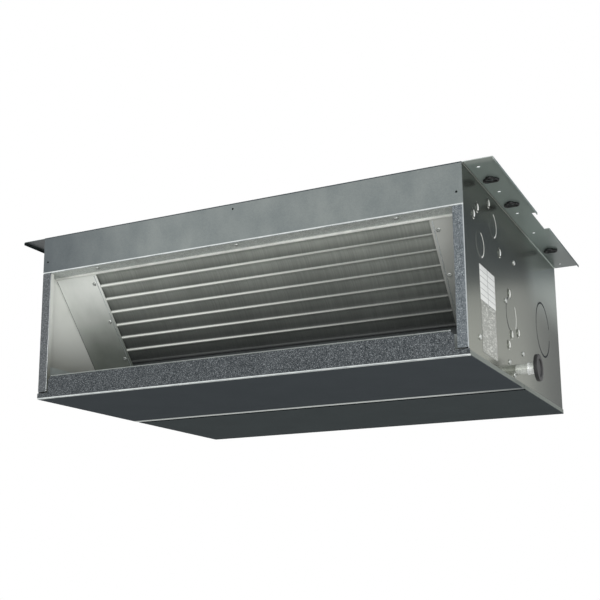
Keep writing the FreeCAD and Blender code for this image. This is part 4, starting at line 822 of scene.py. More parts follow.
# The blanking plates' lower parts are painted in shade.
BLANK_FINISH = ZincFinish("zinc_blanking_left", sheet=BLANK_ZINC, depth=0.01,
                          zones=(Zone(BLANK_LOW_PAINTED_SHADE, 60, z=(-100, 152)),))
BLANK_RIGHT_FINISH = ZincFinish("zinc_blanking_right", metal=0.3, sheet=BLANK_RIGHT, depth=0.01,
                                zones=(Zone(BLANK_RIGHT_LOW_PAINTED_SHADE, 40, z=(-100, 115)),))
SHEET_FINISH = ZincFinish("zinc_sheet", metal=0.75, sheet=PLAIN_ZINC)
PAN_FINISH = ZincFinish("zinc_drain_pan", metal=0.15, sheet=PAN_ZINC)
FAN_FINISH = ZincFinish("zinc_fan", metal=0.8, sheet=FAN_ZINC)
SCREW_FINISH = Finish("zinc_plated_steel", "cbcecb", "9da19e", 0.3, 0.75, 60, 900, 0.02)
# Lighter than the sheet: the rolled edges' own brightness with a painted highlight on it.
FOLD_HIGHLIGHT_FINISH = Finish("bright_fold", "d3d8d8", "aab0b2", 0.3, 0.8, 60, 500, 0.02)
FERRULE_FINISH = Finish("bright_ferrule", "f2f4f3", "d9dcdb", 0.26, 0.35, 80, 900, 0.03)
STUB_FINISH = Finish("drain_tube_metal", "cdd0cc", "adb0ab", 0.28, 0.25, 40, 700, 0.03)
RUBBER_FINISH = Finish("black_rubber", "1c1d1e", "121314", 0.55, 0, 60, 1400, 0.06)
# The top strip's near-white colour is partly a painted highlight, copying the bright line under the header
# lip.
TOP_STRIP_HIGHLIGHT_FINISH = Finish("top_strip_highlight", "eef0eb", "d3d5d0", 0.5, 0.1, 40, 500, 0.03)
SEALANT_FINISH = Finish("grey_sealant", "44484a", "34383a", 0.6, 0, 40)
FOAM_FINISH = Finish("closed_cell_foam", "3b3c3d", "29292a", 0.9, 0, 40, 600, 0.4)
COPPER_FINISH = Finish("copper_tube", "b87455", "8a5038", 0.34, 0.95, 25, 500, 0.03)
BRASS_FINISH = Finish("brass_union", "b99a57", "8f753c", 0.32, 0.95, 40, 700, 0.03)
KNOB_FINISH = Finish("black_knob_plastic", "2c2d2f", "202123", 0.42, 0, 50, 900, 0.04)
MOTOR_FINISH = Finish("motor_enamel", "3a4046", "2c3136", 0.4, 0, 20, 500, 0.08)
CASTING_FINISH = Finish("motor_casting", "9a9c9b", "7a7c7b", 0.5, 0.8, 30, 350, 0.2)
STEEL_FINISH = Finish("ground_steel", "a9acad", "85888a", 0.25, 0.95, 30, 900, 0.01)
CORE_FINISH = Finish("core_steel_stack", "6d7072", "505355", 0.45, 0.9, 60, 900)
FRAME_PLASTIC = Finish("filter_frame_plastic", "2f3133", "222426", 0.5, 0, 30, 900)
MEDIA_FINISH = MeshFinish("filter_weave", "5b5f62", "1d1e20", 0.8)
GLAND_FINISH = Finish("gland_plastic", "6e7274", "5a5e60", 0.45, 0, 40, 900, 0.04)
CAPACITOR_FINISH = Finish("capacitor_can", "b9bbbb", "9a9c9c", 0.35, 0.9, 30, 700, 0.02)
FIN_FINISH = FinFinish("aluminium_fins", "b4b9b2", "585c57", 0.45, 0.4)
FLOOR_FINISH = FloorFinish("studio_floor", "f1f1ef", "ecece9", 0.8, 0, 1, 40, 0)
CARD_FINISH = Finish("mirror_card", "68717d", "636c78", 0.9, 0, 1, 40, 0)


def dress(finish: Finish, *nodes: str) -> None:
    """Gives solids' nodes a finish, in every one of their material slots.

    Args:
        finish: the finish.
        nodes: the nodes' names.
    """
    for node in nodes:
        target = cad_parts[node]
        if not target.material_slots:
            target.data.materials.append(finish.material())
        for slot in target.material_slots:
            slot.material = finish.material()
        LOG.info("node %s: %s", node, finish.name)


# Sub-assemblies


@dataclass(frozen=True)
class Knockout:
    """A pressed ring on the right side: where it is, and how its groove looks.

    With t the angle from +Y, the groove gets a painted highlight of the given strength where cos(t) is over
    bright, and painted shade where it is under dark.
    """

    depth: float
    height: float
    radius: float
    groove: float
    # Strength of the painted highlight; bright and dark bound the arcs with painted highlight and painted
    # shade.
    highlight_strength: float
    bright: float
    dark: float


@dataclass(frozen=True)
class Casing:
    """The folded sheet casing with its folds and pressed marks, which carry painted highlights and shade, its
    rubber rims and its stickers.

    A row of the front folds is how far the fold ends from the casing's side, its depth behind the front, its
    height and its radius. The side lips' spans are along Y.
    """

    width: float = 740
    front: float = -290
    height: float = 280
    gauge: float = 1
    header_low: float = 216
    front_folds: tuple[tuple[float, ...], ...] = (
        (1.5, 1.2, 217.2, 1.2), (1.5, 1.2, 1.2, 1.2), (1.5, 30, 216.7, 0.9), (25, 0.75, 37.8, 0.7))
    post_inset: float = 15.4
    post_heights: Span = (12, 214)
    post_radius: float = 1
    lip_out: float = 0.4
    lip_spans: tuple[Span, ...] = ((-286, -0.6), (2.2, 286))
    lip_radius: float = 0.8
    plate_overlap: float = 0.5
    edge: float = 0.9
    dimple_radius: float = 8.2
    dimple_height: float = 1.7
    dimple_sink: float = 0.1
    groove_lift: float = 0.12
    groove_foot: float = -1.3
    dimples: tuple[Span, ...] = (
        (48.5, 218), (69, 234), (131, 261), (183, 197), (230, 144), (234, 78), (276, 89), (214, 58))
    # The last three numbers of each ring set its painted highlight and painted shade.
    knockouts: tuple[Knockout, ...] = (
        Knockout(152, 232, 19, 1.8, 0.6, 0.25, -2), Knockout(78, 180, 19, 1.8, 0.6, 0.25, -2),
        Knockout(237, 110, 30, 2, 0.6, 0.8, -0.5), Knockout(453, 132, 48, 2.2, 1, 2, 0.97))
    label_thickness: float = 0.3
    keyholes: tuple[float, ...] = (84, 200, 465)
    keyhole_offset: float = 19
    keyhole_length: float = 20.5
    keyhole_width: float = 8.5
    keyhole_lobe: float = 12
    rim_radius: float = 1.5
    rim_out: float = 0.6
    rim_stretch: float = 1.6
    rim_cover: float = 0.05

    def folds(self, coil: "Coil") -> None:
        """Adds the rolled and cut edges, whose light colour is partly a painted highlight: header lip,
        upstand, posts, side lips and blanking plates.

        Args:
            coil: the coil that the blanking plates stand beside.
        """
        form = Form()
        half = self.width / 2
        for inset, back, z, radius in self.front_folds:
            y = self.front + back
            form.add(bead((inset - half, y, z), (half - inset, y, z), radius))
        for side in Side:
            x, y = side.value * (half - self.post_inset), self.front + self.post_radius
            form.add(bead(*((x, y, z) for z in self.post_heights), self.post_radius))
            x = side.value * (half + self.lip_out)
            for span in self.lip_spans:
                form.add(bead(*((x, y, self.edge) for y in span), self.lip_radius))
            x = side.value * (coil.end(side) + self.plate_overlap)
            form.add(bead(*(coil.point(x, -self.edge, down) for down in coil.plate_span), self.edge))
        form.piece("folded_edges", "casing", FOLD_HIGHLIGHT_FINISH, "galvanised")

    def marks(self) -> None:
        """Adds the pressed dimples and the grooves of the knock-outs on the right side.

        A dimple is a dome of height * sqrt(1 - s^2) - sink at share s of its radius, with a painted highlight
        but for its front rim, which has painted shade. A knock-out is a ring of the groove's width, sunk in
        its middle.
        """
        share = np.linspace(0, 1, 9)
        rise = self.dimple_height * np.sqrt(1 - share ** 2) - self.dimple_sink
        dome = np.stack([rise, self.dimple_radius * share], axis=1)
        # Painted highlight over each dome (1), painted shade on its front rim (down to -0.6).
        front = np.clip(-3 * np.cos(full_turn(32)), 0, 3)
        highlight_and_shade = np.clip(1.2 - front * share[:, None], -0.6, 1)
        form = Form()
        for depth, height in self.dimples:
            form.add(turned(dome, (self.width / 2, self.front + depth, height), ALONG_X, 32), shade=highlight_and_shade)
        form.piece("pressed_dimples", "casing", MARK_FINISH, "galvanised", 60)
        form = Form()
        lift, foot = self.groove_lift, self.groove_foot
        cosine = np.cos(full_turn(72))
        for ring in self.knockouts:
            line = np.array([foot, lift, lift, lift / 3, lift / 3, lift, lift, foot])
            inner = np.array([-ring.groove, -ring.groove, 0.5 - ring.groove, -0.6])
            profile = rounded(np.stack([line, ring.radius + np.append(inner, -inner[::-1])], axis=1), 0.2, 4)
            # Painted highlight on the arcs turned towards +Y, painted shade on the arcs under the dark bound.
            edge = np.where(cosine > ring.bright, ring.highlight_strength, np.where(cosine < ring.dark, -1, 0))
            groove = np.clip(1.5 - np.abs(profile[:, 1] - ring.radius) / ring.groove * 1.3, 0, 1)
            form.add(turned(profile, (self.width / 2, self.front + ring.depth, ring.height), ALONG_X, 72),
                     close_rows=True, shade=groove[:, None] * edge)
        form.piece("knockout_grooves", "casing", MARK_FINISH, "galvanised", 30)

    def rims(self) -> None:
        """Adds the rubber rims that hang out of the keyholes below the flanges.

        A rim is a round section carried along the keyhole's edge: a slot across the flange with a lobe to the
        front. With (u, v) a point of the edge and n its outward direction, the rim's middle is
        (u, v) + rim_out * n, and its section has the rim's radius, stretched downward and cut off just below
        the flange.
        """
        half = self.keyhole_width / 2
        reach = self.keyhole_length / 2 - half
        edge = []
        for u, v, start in ((reach, 0, -90), (-reach, 0, 90), (0, half - self.keyhole_lobe, 180)):
            turn = np.radians(np.linspace(start, start + 180, 12))
            edge.append((u, v) + (half + self.rim_out) * np.stack([np.cos(turn), np.sin(turn)], axis=1))
        line = np.concatenate(edge)
        ahead = np.roll(line, -1, axis=0) - np.roll(line, 1, axis=0)
        ahead /= np.linalg.norm(ahead, axis=1)[:, None]
        out = np.stack([ahead[:, 1], -ahead[:, 0]], axis=1)
        section = full_turn(12)
        ring = line[:, None, :] + np.cos(section)[None, :, None] * self.rim_radius * out[:, None, :]
        under = self.height - self.gauge
        drop = under - self.rim_radius + np.sin(section) * self.rim_radius * self.rim_stretch
        drop = np.minimum(drop, under - self.rim_cover)
        level = np.broadcast_to(drop, ring.shape[:2])[..., None]
        form = Form()
        for side in Side:
            for depth in self.keyholes:
                middle = np.array([side.value * (self.width / 2 + self.keyhole_offset), self.front + depth])
                form.add(np.concatenate([middle + ring, level], axis=2), close_rows=True)
        form.piece("keyhole_grommets", "casing", RUBBER_FINISH, "rubber", 60)

    def labels(self) -> None:
        """Adds the two blank stickers on the right side."""
        places = (("sticker_white", (67, 147), (95, 149), "e8eae8", "d6d9d7", (2, 6), 0),
                  ("sticker_grey", (69, 145), (18, 95), "9fa19b", "878983", (1, 1), 0.6))
        for name, depths, heights, shade, dark, cells, speckle in places:
            y_range = (self.front + depths[0], self.front + depths[1])
            finish = LabelFinish(name, shade, dark, 0.45, y_range=y_range, z_range=heights, cells=cells,
                                 speckle=speckle)
            plate = round_plate(self.width / 2, y_range, heights, self.label_thickness)
            Form().add(plate).piece(name, "casing", finish, "galvanised", 60)

    def build(self, coil: "Coil") -> None:
        """Dresses the casing's solids and adds its folds, marks, stickers and rims.

        Args:
            coil: the coil behind its opening.
        """
        dress(RIGHT_FINISH, "side_panel_right")
        dress(LEFT_FINISH, "side_panel_left")
        dress(FLANGE_FINISH, "hanging_flange_right", "hanging_flange_left")
        dress(HEADER_FINISH, "front_header")
        dress(FRONT_PAN_FINISH, "front_bottom_panel")
        dress(REAR_PAN_FINISH, "rear_access_panel")
        dress(SHEET_FINISH, "top_panel", "rear_frame", "fan_deck")
        dress(PAN_FINISH, "drain_pan")
        dress(FOAM_FINISH, "drain_pan_foam")
        dress(RUBBER_FINISH, "isolator_pads")
        self.folds(coil)
        self.marks()
        self.labels()
        self.rims()


@dataclass(frozen=True)
class Fasteners:
    """Screw and rivet heads: low domes with a cross pressed into each screw.

    A head's size is its radius and height.
    """

    head_size: Span = (4, 2.2)
    coil_head_size: Span = (3.4, 1.6)
    cross: float = 0.8
    slot_width: float = 0.16
    slot_reach: float = 0.62
    slot_fade: float = 0.14
    header_depth: float = 12
    header_places: tuple[float, ...] = (-266, 0, 266)
    rivet_places: tuple[Span, ...] = ((269, 204), (206, 126))
    side_places: tuple[Span, ...] = ((56, 37), (213.5, 30), (240, 14), (300, 59))
    coil_places: tuple[float, ...] = (18, 91, 165)

    def head(self, centre: ArrayLike, axis: ArrayLike, size: Span, is_screw: bool = True) -> Array:
        """A head as a height over its disc.

        The height over a point at share s of the radius and angle t is height * sqrt(1 - 0.85 * s^4), less a
        cross whose depth fades towards the slots' reach: it lies where |sin(2t)| * s is under their width.

        Args:
            centre: the middle of the head's foot.
            axis: the way that it stands out.
            size: its radius and height.
            is_screw: whether it has a cross.

        Returns:
            A grid of points, rows from the middle to the rim and down to the foot.
        """
        share = np.array([0, 0.12, 0.24, 0.36, 0.48, 0.6, 0.75, 0.88, 0.97, 1, 1])
        rise = size[1] * np.sqrt(1 - 0.85 * share ** 4)
        rise[-1] = 0
        dome = turned(np.stack([rise, size[0] * share], axis=1), centre, axis, 32)
        reach = share[:, None]
        slot = np.clip(1.3 - np.abs(np.sin(2 * full_turn(32))) * reach / self.slot_width, 0, 1)
        slot *= np.clip((self.slot_reach - reach) / self.slot_fade, 0, 1) * self.cross * is_screw
        return dome - slot[..., None] * np.asarray(axis, float)

    def build(self, casing: Casing, coil: "Coil") -> None:
        """Replaces the plain heads on the casing and beside the coil.

        Args:
            casing: the casing that they stand on.
            coil: the coil whose blanking plates they hold.
        """
        form = Form()
        for x in self.header_places:
            centre = (x, casing.front + self.header_depth, casing.header_low)
            form.add(self.head(centre, (0, 0, -1), self.head_size))
        groups = ((1, self.rivet_places, False), (1, self.side_places, True), (-1, self.side_places, True))
        for sign, places, is_screw in groups:
            for depth, height in places:
                centre = (sign * casing.width / 2, casing.front + depth, height)
                form.add(self.head(centre, (sign, 0, 0), self.head_size, is_screw))
        form.piece("casing_screw_heads", "casing", SCREW_FINISH, "zinc_screws", solid="casing_screws")
        form = Form()
        for side in Side:
            x = side.value * (coil.end(side) + 6)
            for down in self.coil_places:
                form.add(self.head(coil.point(x, -1.3, down), -coil.behind, self.coil_head_size))
        form.piece("coil_screw_heads", "casing", SCREW_FINISH, "zinc_screws", solid="coil_screws")


@dataclass(frozen=True)
class Coil:
    """The leaning coil: fin pack, end plates, blanking plates and its copper.

    The top and the strip are given by their Y and Z, and the wall by its X.
    """

    angle: float = 40
    top: Span = (-256, 215)
    pitch: float = 25
    tubes: int = 9
    thickness: float = 50
    left_end: float = 290
    right_end: float = 312
    scallop: float = 2.5
    ridge_height: float = 0.9
    ridge_widths: Span = (2.9, 2)
    ridge_edge: float = 0.25
    seal_radius: float = 0.9
    seal_behind: float = -0.5
    strip: Span = (-258.2, 214.8)
    strip_radius: float = 2.5
    plate_span: Span = (3, 196)
    wall: float = 369
    samples: int = 20

    @property
    def behind(self) -> Array:
        """Direction from the coil's face to its back."""
        turn = math.radians(self.angle)
        return np.array([0, math.cos(turn), math.sin(turn)])

    @property
    def down(self) -> Array:
        """Direction down the coil's slant."""
        turn = math.radians(self.angle)
        return np.array([0, math.sin(turn), -math.cos(turn)])

    def end(self, side: Side) -> float:
        """How far the coil's end lies from the middle of the unit."""
        return self.right_end if side is Side.RIGHT else self.left_end

    def point(self, x: float, behind: float, down: float) -> Array:
        """A point by its distance behind the coil's face and down its slant."""
        return np.array([x, *self.top]) + behind * self.behind + down * self.down

    def fin_pack(self) -> None:
        """Replaces the fin pack with hollows between rounded ridges.

        Down the slant, with t the share of the pitch below the last ridge, the face lies
        scallop * (1 - (2t - 1)^2) behind the ridges' plane, less ridge_height * exp(-(d / w)^2), where d is
        the distance to the nearest ridge and w the ridges' width, one at the left end and one at the right.
        The back is the same, mirrored. The shade attribute is 1 on a ridge, 0 at the top of a hollow and -1
        at its bottom; the fins' finish paints it as highlight and shade.
        """
        down = np.linspace(0, self.pitch * self.tubes, self.tubes * self.samples + 1)[:, None]
        phase = down / self.pitch - np.floor(down / self.pitch)
        gap = self.pitch * np.minimum(phase, 1 - phase)
        ridge = np.exp(-((gap / np.array(self.ridge_widths)) ** 2))
        depth = (self.scallop * (1 - (2 * phase - 1) ** 2) - self.ridge_height * ridge)[..., None]
        shade = np.where(ridge > self.ridge_edge, ridge, -phase)
        sides = (Side.LEFT, Side.RIGHT)
        ends = np.stack([self.point(side.value * self.end(side), 0, 0) for side in sides])
        slant = ends + down[..., None] * self.down
        face = slant + depth * self.behind
        back = slant + (self.thickness - depth) * self.behind
        form = Form()
        for sheet in (face, back):
            form.add(sheet, close_columns=False, shade=shade)
        for end in (0, 1):
            form.add(np.stack([face[:, end], back[:, end]], axis=1), close_columns=False,
                     shade=np.stack([shade[:, end]] * 2, axis=1))
        for place in (0, -1):
            form.add(np.stack([face[place], back[place]]), close_columns=False)
        form.piece("coil_face", "casing", FIN_FINISH, "fins", 50, "coil_fin_pack")

    def seals(self) -> None:
        """Adds the sealant between blanking plates and walls, and the round strip over the coil's top, whose
        near-white colour is partly a painted highlight.
        """
        form = Form()
        for side in Side:
            x = side.value * (self.wall - self.seal_radius)
            ends = (self.point(x, self.seal_behind, down) for down in self.plate_span)
            form.add(bead(*ends, self.seal_radius))
        form.piece("wall_seals", "casing", SEALANT_FINISH, "rubber")
        strip = bead((-self.wall, *self.strip), (self.wall, *self.strip), self.strip_radius)
        Form().add(strip).piece("coil_top_strip", "casing", TOP_STRIP_HIGHLIGHT_FINISH, "galvanised")

    def build(self) -> None:
        """Dresses the coil's solids and adds its face, seals and strip."""
        dress(BLANK_FINISH, "blanking_plate_left")
        dress(BLANK_RIGHT_FINISH, "blanking_plate_right")
        dress(SHEET_FINISH, "coil_end_plate_right", "coil_end_plate_left")
        dress(COPPER_FINISH, "coil_return_bends", "inlet_manifold", "outlet_manifold")
        self.fin_pack()
        self.seals()


@dataclass(frozen=True)
class WaterConnections:
    """Unions, valves and knobs on the two water stubs at the left.

    The profiles of the union's end, the valve and the knob are distances from the end or the foot, and radii.
    """

    union_start: float = -408.3
    union_length: float = 18
    union_flats: float = 36
    union_end: tuple[Span, ...] = ((0, 15.2), (0.9, 17.4))
    bore: float = 11.1
    knob: tuple[Span, ...] = ((0, 0), (0, 7.5), (4.2, 7.5), (6, 6), (6, 0))
    valve: tuple[Span, ...] = ((0, 0), (0, 4.2), (1.5, 4.2), (1.6, 5), (6.4, 5), (6.6, 3.9), (9, 3.9), (9, 0))
    valve_x: float = -380
    valve_seat: float = 9.7
    gap: float = 0.3

    def build(self) -> None:
        """Replaces both unions, valve bodies and knobs."""
        half = ((0, self.bore), *self.union_end, (2.2, self.union_flats / math.sqrt(3)))
        union = mirrored(half, self.union_start, self.union_start + self.union_length)
        for name, valve, up in (("inlet", "coil_drain", -1), ("outlet", "air_vent", 1)):
            low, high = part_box(name + "_union")
            y, z = (low.y + high.y) / 2 / MM, (low.z + high.z) / 2 / MM
            form = Form().add(turned(union, (0, y, z), ALONG_X, 72, flats=self.union_flats), close_rows=True)
            form.piece(name + "_union_nut", "casing", BRASS_FINISH, "brass", 25, name + "_union")
            base = z + up * self.valve_seat
            grid = turned(rounded(self.valve, 0.4, 4), (self.valve_x, y, base), (0, 0, up), 32)
            Form().add(grid).piece(valve + "_valve", "casing", BRASS_FINISH, "brass", solid=valve + "_body")
            base += up * (self.valve[-1][0] + self.gap)
            knob = turned(rounded(self.knob, 0.8), (self.valve_x, y, base), (0, 0, up), 96, 12, 0.7)
            form, body = Form().add(knob), valve + "_knob"
            form.piece(valve + "_fluted_knob", body, KNOB_FINISH, "knob_plastic", solid=body)


@dataclass(frozen=True)
class DrainOutlet:
    """The drain tube with its ferrule, and the rubber cap on its end.

    Profiles are X and radius, that of the ferrule's end distance from its end and radius.
    """

    centre: Point = (0, -36, 25)
    tube: tuple[Span, ...] = ((363, 6), (363, 8), (388, 8), (388, 8), (404, 8), (404, 6))
    ferrule: Span = (388, 401)
    ferrule_end: tuple[Span, ...] = ((0, 7.8), (0, 9.8), (2.6, 9.8), (3.2, 9.1))
    cap: tuple[Span, ...] = (
        (404.3, 0), (404.3, 8.3), (401.3, 8.3), (401.3, 21.5), (407.3, 21.5), (407.3, 14.5), (405.3, 13.9),
        (405.6, 6), (405.8, 0))

    def build(self) -> None:
        """Replaces the tube with its ferrule, and the cap."""
        tube = turned(rounded(self.tube, 0.4, 4), self.centre, ALONG_X, 64)
        form = Form().add(tube, close_rows=True)
        form.piece("drain_tube", "casing", STUB_FINISH, "stub_metal", solid="drain_stub")
        ferrule = rounded(mirrored(self.ferrule_end, *self.ferrule), 0.5)
        form = Form().add(turned(ferrule, self.centre, ALONG_X, 64), close_rows=True)
        form.piece("drain_ferrule", "casing", FERRULE_FINISH, "stub_metal", solid="drain_stub")
        form = Form().add(turned(rounded(self.cap, 1.1, 6), self.centre, ALONG_X, 72))
        form.piece("drain_rubber_cap", "drain_cap", RUBBER_FINISH, "rubber", solid="drain_cap")


@dataclass(frozen=True)
class FanSection:
    """Two double-inlet fan wheels in their scrolls, with the motor between them.

    The disc's profile runs from the hub's bore out to the rim and back, as distances from the wheel's middle
    and radii. Those of the end ring and the motor's end are distances from the end and radii.
    """

    shaft_y: float = 115
    shaft_z: float = 126
    wheel_centre: float = 186
    wheel_width: float = 180
    wheel_radius: float = 75
    wheel_inner: float = 62
    blades: int = 42
    blade_gauge: float = 0.8
    blade_lead: float = 9
    blade_sag: float = 2.6
    disc: tuple[Span, ...] = (
        (-12, 6), (-12, 12), (-1.2, 12), (-1, 30), (1.6, 34), (1.6, 50), (-0.9, 54), (-0.9, 75.9),
        (0.9, 75.9), (0.9, 55), (3.4, 51), (3.4, 33), (0.8, 29), (1.2, 12), (12, 12), (12, 6))
    ring: tuple[Span, ...] = ((0, 61.1), (0, 75.9))
    ring_width: float = 1.8
    motor: Span = (-50, 50)
    motor_end: tuple[Span, ...] = ((0, 48), (0, 50), (8, 50), (10, 49.3))

    def blade(self, x_range: Span, turn: float) -> Array:
        """One curved blade as a closed skin.

        Between the radii, with s the share of the way out, the blade's middle lies at the angle
        turn + lead * s - 4 * sag * s * (1 - s); its two faces lie half the gauge before and after it.

        Args:
            x_range: lowest and highest X.
            turn: angle of its root in degrees.

        Returns:
            A grid of points: rows round the blade's section, columns along X.
        """
        share = np.linspace(0, 1, 7)
        radius = self.wheel_inner + (self.wheel_radius - self.wheel_inner) * share
        middle = turn + self.blade_lead * share - 4 * self.blade_sag * share * (1 - share)
        half = np.degrees(self.blade_gauge / 2 / radius)
        angle = np.radians(np.concatenate([middle - half, (middle + half)[::-1]]))
        out = np.concatenate([radius, radius[::-1]])
        y, z = self.shaft_y + out * np.cos(angle), self.shaft_z + out * np.sin(angle)
        return np.stack([np.stack([np.full_like(out, x), y, z], axis=1) for x in x_range], axis=1)

    def wheel(self, side: Side) -> None:
        """Replaces a fan wheel: blades, end rings, centre disc and hub.

        Args:
            side: which wheel.
        """
        form = Form()
        middle = side.value * self.wheel_centre
        low, high = middle - self.wheel_width / 2, middle + self.wheel_width / 2
        for number in range(self.blades):
            form.add(self.blade((low + 1, high - 1), 360 * number / self.blades), close_rows=True,
                     close_columns=False)
        centre = (0, self.shaft_y, self.shaft_z)
        for start in (low, high - self.ring_width):
            profile = rounded(mirrored(self.ring, start, start + self.ring_width), 0.4, 4)
            form.add(turned(profile, centre, ALONG_X, 84), close_rows=True)
        disc = rounded(np.array(self.disc) + (middle, 0), 0.6, 4)
        form.add(turned(disc, centre, ALONG_X, 84), close_rows=True)
        wheel = "wheel_" + side.name.lower()
        form.piece("blade_" + wheel, "rotor", FAN_FINISH, "fan_metal", 35, "fan_" + wheel)

    def shell(self) -> None:
        """Replaces the motor's shell with a round one that has a step near each end."""
        shell = rounded(mirrored(self.motor_end, *self.motor), 0.8)
        form = Form().add(turned(shell, (0, self.shaft_y, self.shaft_z), ALONG_X, 96), close_rows=True)
        form.piece("motor_round_shell", "casing", MOTOR_FINISH, "motor_paint", solid="motor_shell")

    def build(self) -> None:
        """Dresses the fan section's solids and adds its wheels and motor."""
        dress(FAN_FINISH, "scroll_housing_right", "scroll_housing_left")
        dress(CASTING_FINISH, "motor_end_bells")
        dress(STEEL_FINISH, "motor_bearings", "fan_shaft")
        dress(CORE_FINISH, "motor_stator", "motor_rotor_core")
        dress(RUBBER_FINISH, "motor_mount_rings")
        dress(SHEET_FINISH, "motor_cradle")
        for side in Side:
            self.wheel(side)
        self.shell()


@dataclass(frozen=True)
class AirFilter:
    """The sliding filter and its guides."""

    def build(self) -> None:
        """Gives the filter and its guides their finishes."""
        dress(SHEET_FINISH, "filter_guides")
        dress(FRAME_PLASTIC, "filter_frame", "filter_pull_tab")
        dress(MEDIA_FINISH, "filter_media")


@dataclass(frozen=True)
class ElectricalBox:
    """The electrical box at the left with its glands.

    A gland's profile runs from its nut inside the box down to its domed cap, as distances above its base and
    radii.
    """

    gland_x: float = -390.3
    gland_y: Span = (94, 148)
    base: float = 62
    gland: tuple[Span, ...] = (
        (4, 4), (4, 6.4), (-0.3, 6.4), (-0.3, 8.6), (-2.8, 8.6), (-3.2, 7.6), (-10.5, 7.6), (-13.2, 5.6),
        (-14, 4))

    def build(self) -> None:
        """Dresses the box's solids and replaces its two cable glands with fluted ones."""
        dress(SHEET_FINISH, "electrical_box", "electrical_box_cover")
        dress(GLAND_FINISH, "terminal_block")
        dress(CAPACITOR_FINISH, "run_capacitor")
        form = Form()
        for y in self.gland_y:
            gland = turned(rounded(self.gland, 0.8), (self.gland_x, y, self.base), (0, 0, 1), 60, 10, 0.5)
            form.add(gland, close_rows=True)
        form.piece("ribbed_glands", "casing", GLAND_FINISH, "gland_plastic", solid="cable_glands")


# Studio


@dataclass(frozen=True)
class Lamp:
    """A soft square lamp."""

    name: str
    place: Point
    aim: Point
    size: float
    power: float

    def build(self) -> None:
        """Hangs the lamp, turned to its aim."""
        light = bpy.data.lights.new(self.name, "AREA")
        light.shape = "SQUARE"
        light.size = self.size
        light.energy = self.power
        lamp = placed(self.name, light)
        lamp.location = self.place
        lamp.rotation_euler = (Vector(self.aim) - Vector(self.place)).to_track_quat("-Z", "Y").to_euler()


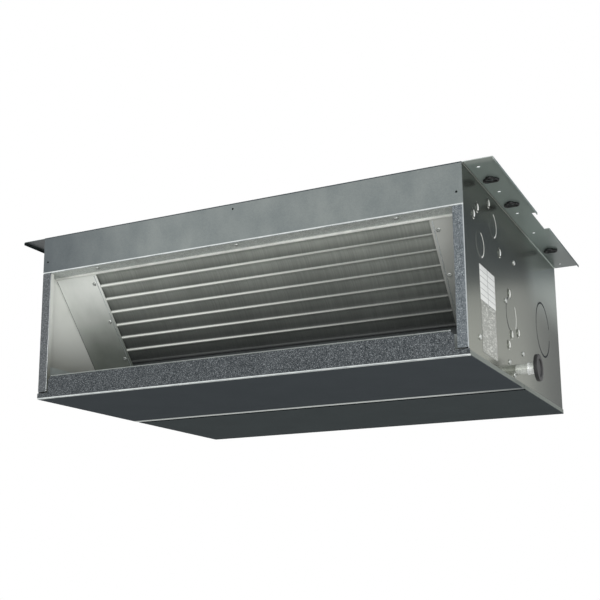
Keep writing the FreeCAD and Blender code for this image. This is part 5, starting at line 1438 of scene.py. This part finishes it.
@dataclass(frozen=True)
class Studio:
    """Camera, lamps, floor, a dark card for the sheet metal to mirror, and the white surround."""

    place: Point = (0.769, -1.628, -0.295)
    azimuth: float = 26.05
    elevation: float = -11.90
    roll: float = -0.42
    lens: float = 62.45
    shift_y: float = 0.1
    clip_start: float = 0.02
    floor_height: float = -0.6
    floor_rings: tuple[float, ...] = (0, 1, 2.5, 5)
    card_x: Span = (-0.6, 4.6)
    card_y: float = 3
    card_z: Span = (1.045, 4.2)
    surround: float = 0.55
    lamps: tuple[Lamp, ...] = (
        Lamp("lamp_front", (1.9, -2.9, 0.1), (0, 0, 0.15), 2.2, 60),
        Lamp("lamp_left", (-2.2, -2.6, 1.2), (0, 0, 0.15), 2.4, 15),
        Lamp("lamp_right", (3.2, 0.4, 1.2), (0, 0, 0.1), 2.2, 10),
        Lamp("lamp_above", (0, 0.6, 3.2), (0, 0, 0), 2.6, 20),
    )

    def camera(self) -> None:
        """Sets the camera where the photograph was taken from.

        It starts looking down. It is then rolled about its own line, raised by a right angle less the
        elevation, and turned by the azimuth.
        """
        lens = bpy.data.cameras.new("camera")
        lens.lens = self.lens
        lens.shift_y = self.shift_y
        lens.clip_start = self.clip_start
        camera = placed("camera", lens)
        camera.matrix_world = Matrix.Translation(self.place)
        for degrees, axis in ((self.azimuth, "Z"), (90 - self.elevation, "X"), (self.roll, "Z")):
            camera.matrix_world @= Matrix.Rotation(math.radians(degrees), 4, axis)
        bpy.context.scene.camera = camera

    def prop(self, name: str, points: Array, quads: Numbers, finish: Finish) -> bpy.types.Object:
        """Stands a plain sheet in the studio.

        Args:
            name: its name.
            points: its points in metres.
            quads: its faces.
            finish: its finish.

        Returns:
            The sheet.
        """
        mesh = bpy.data.meshes.new(name)
        mesh.from_pydata(points.tolist(), [], quads.tolist())
        mesh.materials.append(finish.material())
        made = placed(name, mesh)
        return made

    def floor(self) -> None:
        """Lays the pale round floor below the camera: rings of points at growing radii."""
        turn = full_turn(96)
        rings = np.array(self.floor_rings)[:, None]
        x, y = rings * np.cos(turn), rings * np.sin(turn)
        grid = np.stack([x, y, np.full_like(x, self.floor_height)], axis=-1)
        quads = grid_quads(*x.shape, False, True)
        self.prop("studio_floor", grid.reshape(-1, 3), quads, FLOOR_FINISH).data.flip_normals()

    def card(self) -> None:
        """Stands the dark card that the right side mirrors: an upright sheet seen in reflections only."""
        corners = [(self.card_x[x], self.card_y, self.card_z[z]) for x, z in ((0, 0), (1, 0), (1, 1), (0, 1))]
        card = self.prop("mirror_card", np.array(corners), np.arange(4)[None, :], CARD_FINISH)
        for ray in ("camera", "diffuse", "shadow", "transmission"):
            setattr(card, "visible_" + ray, False)

    def sky(self) -> None:
        """A surround that is white to the camera and in mirrors, and softer as a light."""
        world = bpy.data.worlds.new("surround")
        tree = Tree(world)
        seen, mirrored_ray, through = (tree.node("LightPath", {}, "Is %s Ray" % ray)
                                       for ray in ("Camera", "Glossy", "Transmission"))
        seen = tree.math("MAXIMUM", tree.math("MAXIMUM", seen, mirrored_ray), through)
        soft, white = (tree.node("Background", {"Color": linear("ffffff"), "Strength": strength})
                       for strength in (self.surround, 1))
        tree.put(tree.nodes["World Output"], "Surface", tree.node("MixShader", {0: seen, 1: soft, 2: white}))
        bpy.context.scene.world = world

    def build(self) -> None:
        """Sets up the whole studio."""
        self.camera()
        self.floor()
        self.card()
        self.sky()
        for lamp in self.lamps:
            lamp.build()
        bpy.context.scene.view_settings.view_transform = "Standard"


def main() -> None:
    """Builds the sub-assemblies in order, then the studio."""
    logging.basicConfig(level=logging.INFO, format="%(message)s")
    casing = Casing()
    coil = Coil()
    casing.build(coil)
    coil.build()
    Fasteners().build(casing, coil)
    for group in (WaterConnections(), DrainOutlet(), FanSection(), AirFilter(), ElectricalBox(), Studio()):
        group.build()


if __name__ == "__main__":
    main()
